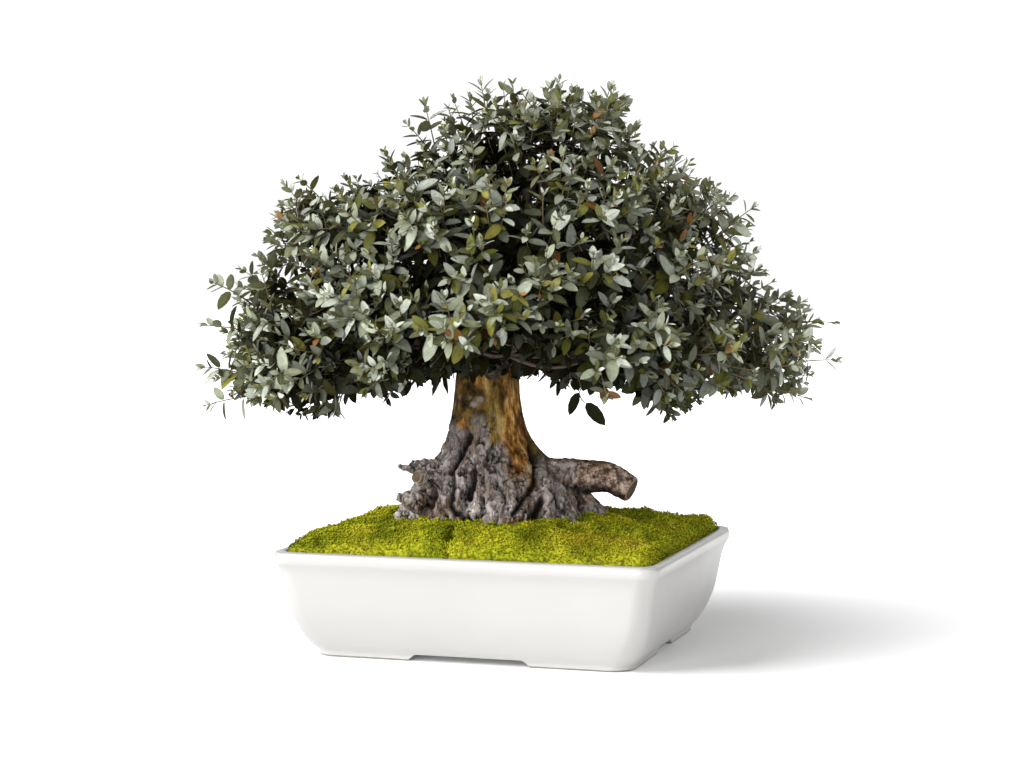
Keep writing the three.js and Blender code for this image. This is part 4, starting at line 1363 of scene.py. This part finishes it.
def grow_outside(clouds, rng):
    """Clumps all over the dome, fewer shoots at its right end, and more clumps at places in front."""
    for point, normal in zip(*dome_samples(CLUMPS, rng)):
        inset = 1 + 30 * rng.random() ** 1.8 * np.clip((535 - point[2]) / 110, 0.1, 1)
        ragged = point @ RIGHT > RAGGED["right"] and point[2] < RAGGED["below"]
        shoots = FEW_SHOOTS if ragged else SHOOTS
        grow_clump(nearest(clouds, point - normal * 40), point, normal, rng, inset, shoots)
    for u, z in SPOTS:
        point, normal = front_point(u, z)
        grow_clump(nearest(clouds, point - normal * 40), point, normal, rng, rng.uniform(0, 6), SHOOTS)


def grow_inside(clouds, rng):
    """Clumps deeper in the crown and on its underside."""
    for layer in INNER:
        # their depth values darken the leaf tints as painted shade inside and under the crown
        for point, normal in zip(*dome_samples(layer["count"], rng)):
            inset = rng.uniform(layer["least"], layer["most"])
            grow_clump(nearest(clouds, point - normal * 60), point, normal, rng, inset, FEW_SHOOTS, 0.7)
    for point, normal in zip(*underside_samples(UNDER_CLUMPS, rng)):
        inset = rng.uniform(0, 10)
        grow_clump(nearest(clouds, point + [0, 0, 30]), point, normal, rng, inset, FEW_SHOOTS, 0.5)


def grow_lone_sprigs(clouds, rng):
    for base, tip in LONE_SPRIGS:
        base, tip = placed(*base), placed(*tip)
        grow_shoot(nearest(clouds, tip), base, tip, (base + tip) / 2 + [0, 0, 4], rng)


def grow_hanging_pair(clouds):
    """Two leaves on a thin drooping stem beside the trunk."""
    path = placed(*np.array(HANGING["stem"], float).T)
    foliage = nearest(clouds, path[0])
    foliage.stem(path, np.full(len(path), 0.5), np.full(len(path), 0.2))
    face = unit(-BEHIND + 0.5 * UP - 0.4 * RIGHT)
    for number, (foot, tip) in enumerate(HANGING["leaves"]):
        foot, tip = placed(*foot), placed(*tip)
        length = np.linalg.norm(tip - foot)
        foliage.leaf(foot, (tip - foot) / length, face, length, 0.05 + 0.1 * number, 0.04, 0.42)


def make_cluster(foliage):
    """The leaves and the stems of one cluster as two pieces."""
    batch = Batch()
    batch.add(*leaves_mesh(foliage.fine, LEAF_ROWS))
    batch.add(*leaves_mesh(foliage.plain, PLAIN_ROWS))
    points, faces, values = batch.arrays()
    solid = ["foliage_" + foliage.name]
    piece = new_piece("leaves_" + foliage.name, points, faces, LEAF, slot="leaves", replaces=solid)
    store(piece.data, "blade", values[:, :3])
    store(piece.data, "tint", values[:, 3])
    # painted shade deep in the crown
    store(piece.data, "inside", values[:, 4])
    points, faces, young = foliage.stems.arrays()
    stems = new_piece("stems_" + foliage.name, points, faces, TWIG, slot="bark")
    store(stems.data, "young", young)


def make_crown():
    rng = np.random.default_rng(5)
    clouds = [Foliage(cloud) for cloud in CLOUDS]
    grow_outside(clouds, rng)
    grow_inside(clouds, rng)
    grow_lone_sprigs(clouds, rng)
    grow_hanging_pair(clouds)
    for foliage in clouds:
        make_cluster(foliage)


make_crown()

# Studio
# painted light: the floor's glow grows from near to far, lightening the crown's shadow there
FLOOR = {"half": 9.0, "near": 0.17, "far": 0.62, "glow": 0.06, "far_glow": 0.70}
LIGHTS = [
    {"name": "key", "left": 0.92, "front": 0.39, "elevation": 31, "strength": 3.6, "angle": 34},
    {"name": "low", "left": 0.42, "front": 0.91, "elevation": 13, "strength": 1.4, "angle": 22},
    {"name": "fill", "left": -0.90, "front": 0.44, "elevation": 30, "strength": 0.85, "angle": 60},
]
SKY = 0.24
BACKDROP = {"glow": 1.05, "full": 0.94, "gone": 0.80}


def make_light(setup):
    """A broad, distant light from a side in front of the tree."""
    rise = math.radians(setup["elevation"])
    level = -unit(setup["left"] * RIGHT + setup["front"] * BEHIND)
    toward = level * math.cos(rise) + UP * math.sin(rise)
    data = bpy.data.lights.new(setup["name"], "SUN")
    data.energy = setup["strength"]
    data.angle = math.radians(setup["angle"])
    light = bpy.data.objects.new(setup["name"], data)
    light.rotation_euler = Vector(toward).to_track_quat("Z", "Y").to_euler()
    bpy.context.scene.collection.objects.link(light)


def make_sky():
    """An even, soft surround with a white backdrop behind the tree."""
    world = bpy.data.worlds.new("studio")
    world.use_nodes = True
    nodes, links = world.node_tree.nodes, world.node_tree.links
    where = nodes.new("ShaderNodeTexCoord").outputs["Generated"]
    toward = nodes.new("ShaderNodeVectorMath")
    toward.operation = "DOT_PRODUCT"
    toward.inputs[1].default_value = BEHIND
    links.new(where, toward.inputs[0])
    blend = nodes.new("ShaderNodeMapRange")
    blend.interpolation_type = "SMOOTHSTEP"
    edges = (("From Min", BACKDROP["gone"]), ("From Max", BACKDROP["full"]))
    for name, value in (*edges, ("To Min", SKY), ("To Max", BACKDROP["glow"])):
        blend.inputs[name].default_value = value
    links.new(toward.outputs["Value"], blend.inputs["Value"])
    links.new(blend.outputs["Result"], nodes["Background"].inputs["Strength"])
    nodes["Background"].inputs["Color"].default_value = (1, 1, 1, 1)
    bpy.context.scene.world = world


def make_studio():
    half = FLOOR["half"] / MM
    corners = np.array([(-half, -half, 0), (half, -half, 0), (half, half, 0), (-half, half, 0)], float)
    floor = new_piece("floor", corners, [(0, 1, 2, 3)], floor_material(), smooth=False)
    for setup in LIGHTS:
        make_light(setup)
    make_sky()
    bpy.context.scene.view_settings.view_transform = "Standard"


def make_camera():
    pitch = math.radians(CAMERA["pitch"])
    back = -BEHIND * math.cos(pitch) + UP * math.sin(pitch)
    up = np.cross(back, RIGHT)
    place = (back * CAMERA["distance"] + RIGHT * CAMERA["aside"] + UP * CAMERA["height"]) * MM
    data = bpy.data.cameras.new("view")
    data.sensor_width = SENSOR
    data.lens = CAMERA["focal"] / IMAGE_WIDTH * SENSOR
    data.clip_end = 50
    camera = bpy.data.objects.new("view", data)
    bpy.context.scene.collection.objects.link(camera)
    camera.matrix_world = Matrix(
        [[RIGHT[i], up[i], back[i], place[i]] for i in range(3)] + [[0, 0, 0, 1]]
    )
    bpy.context.scene.camera = camera


make_studio()
make_camera()
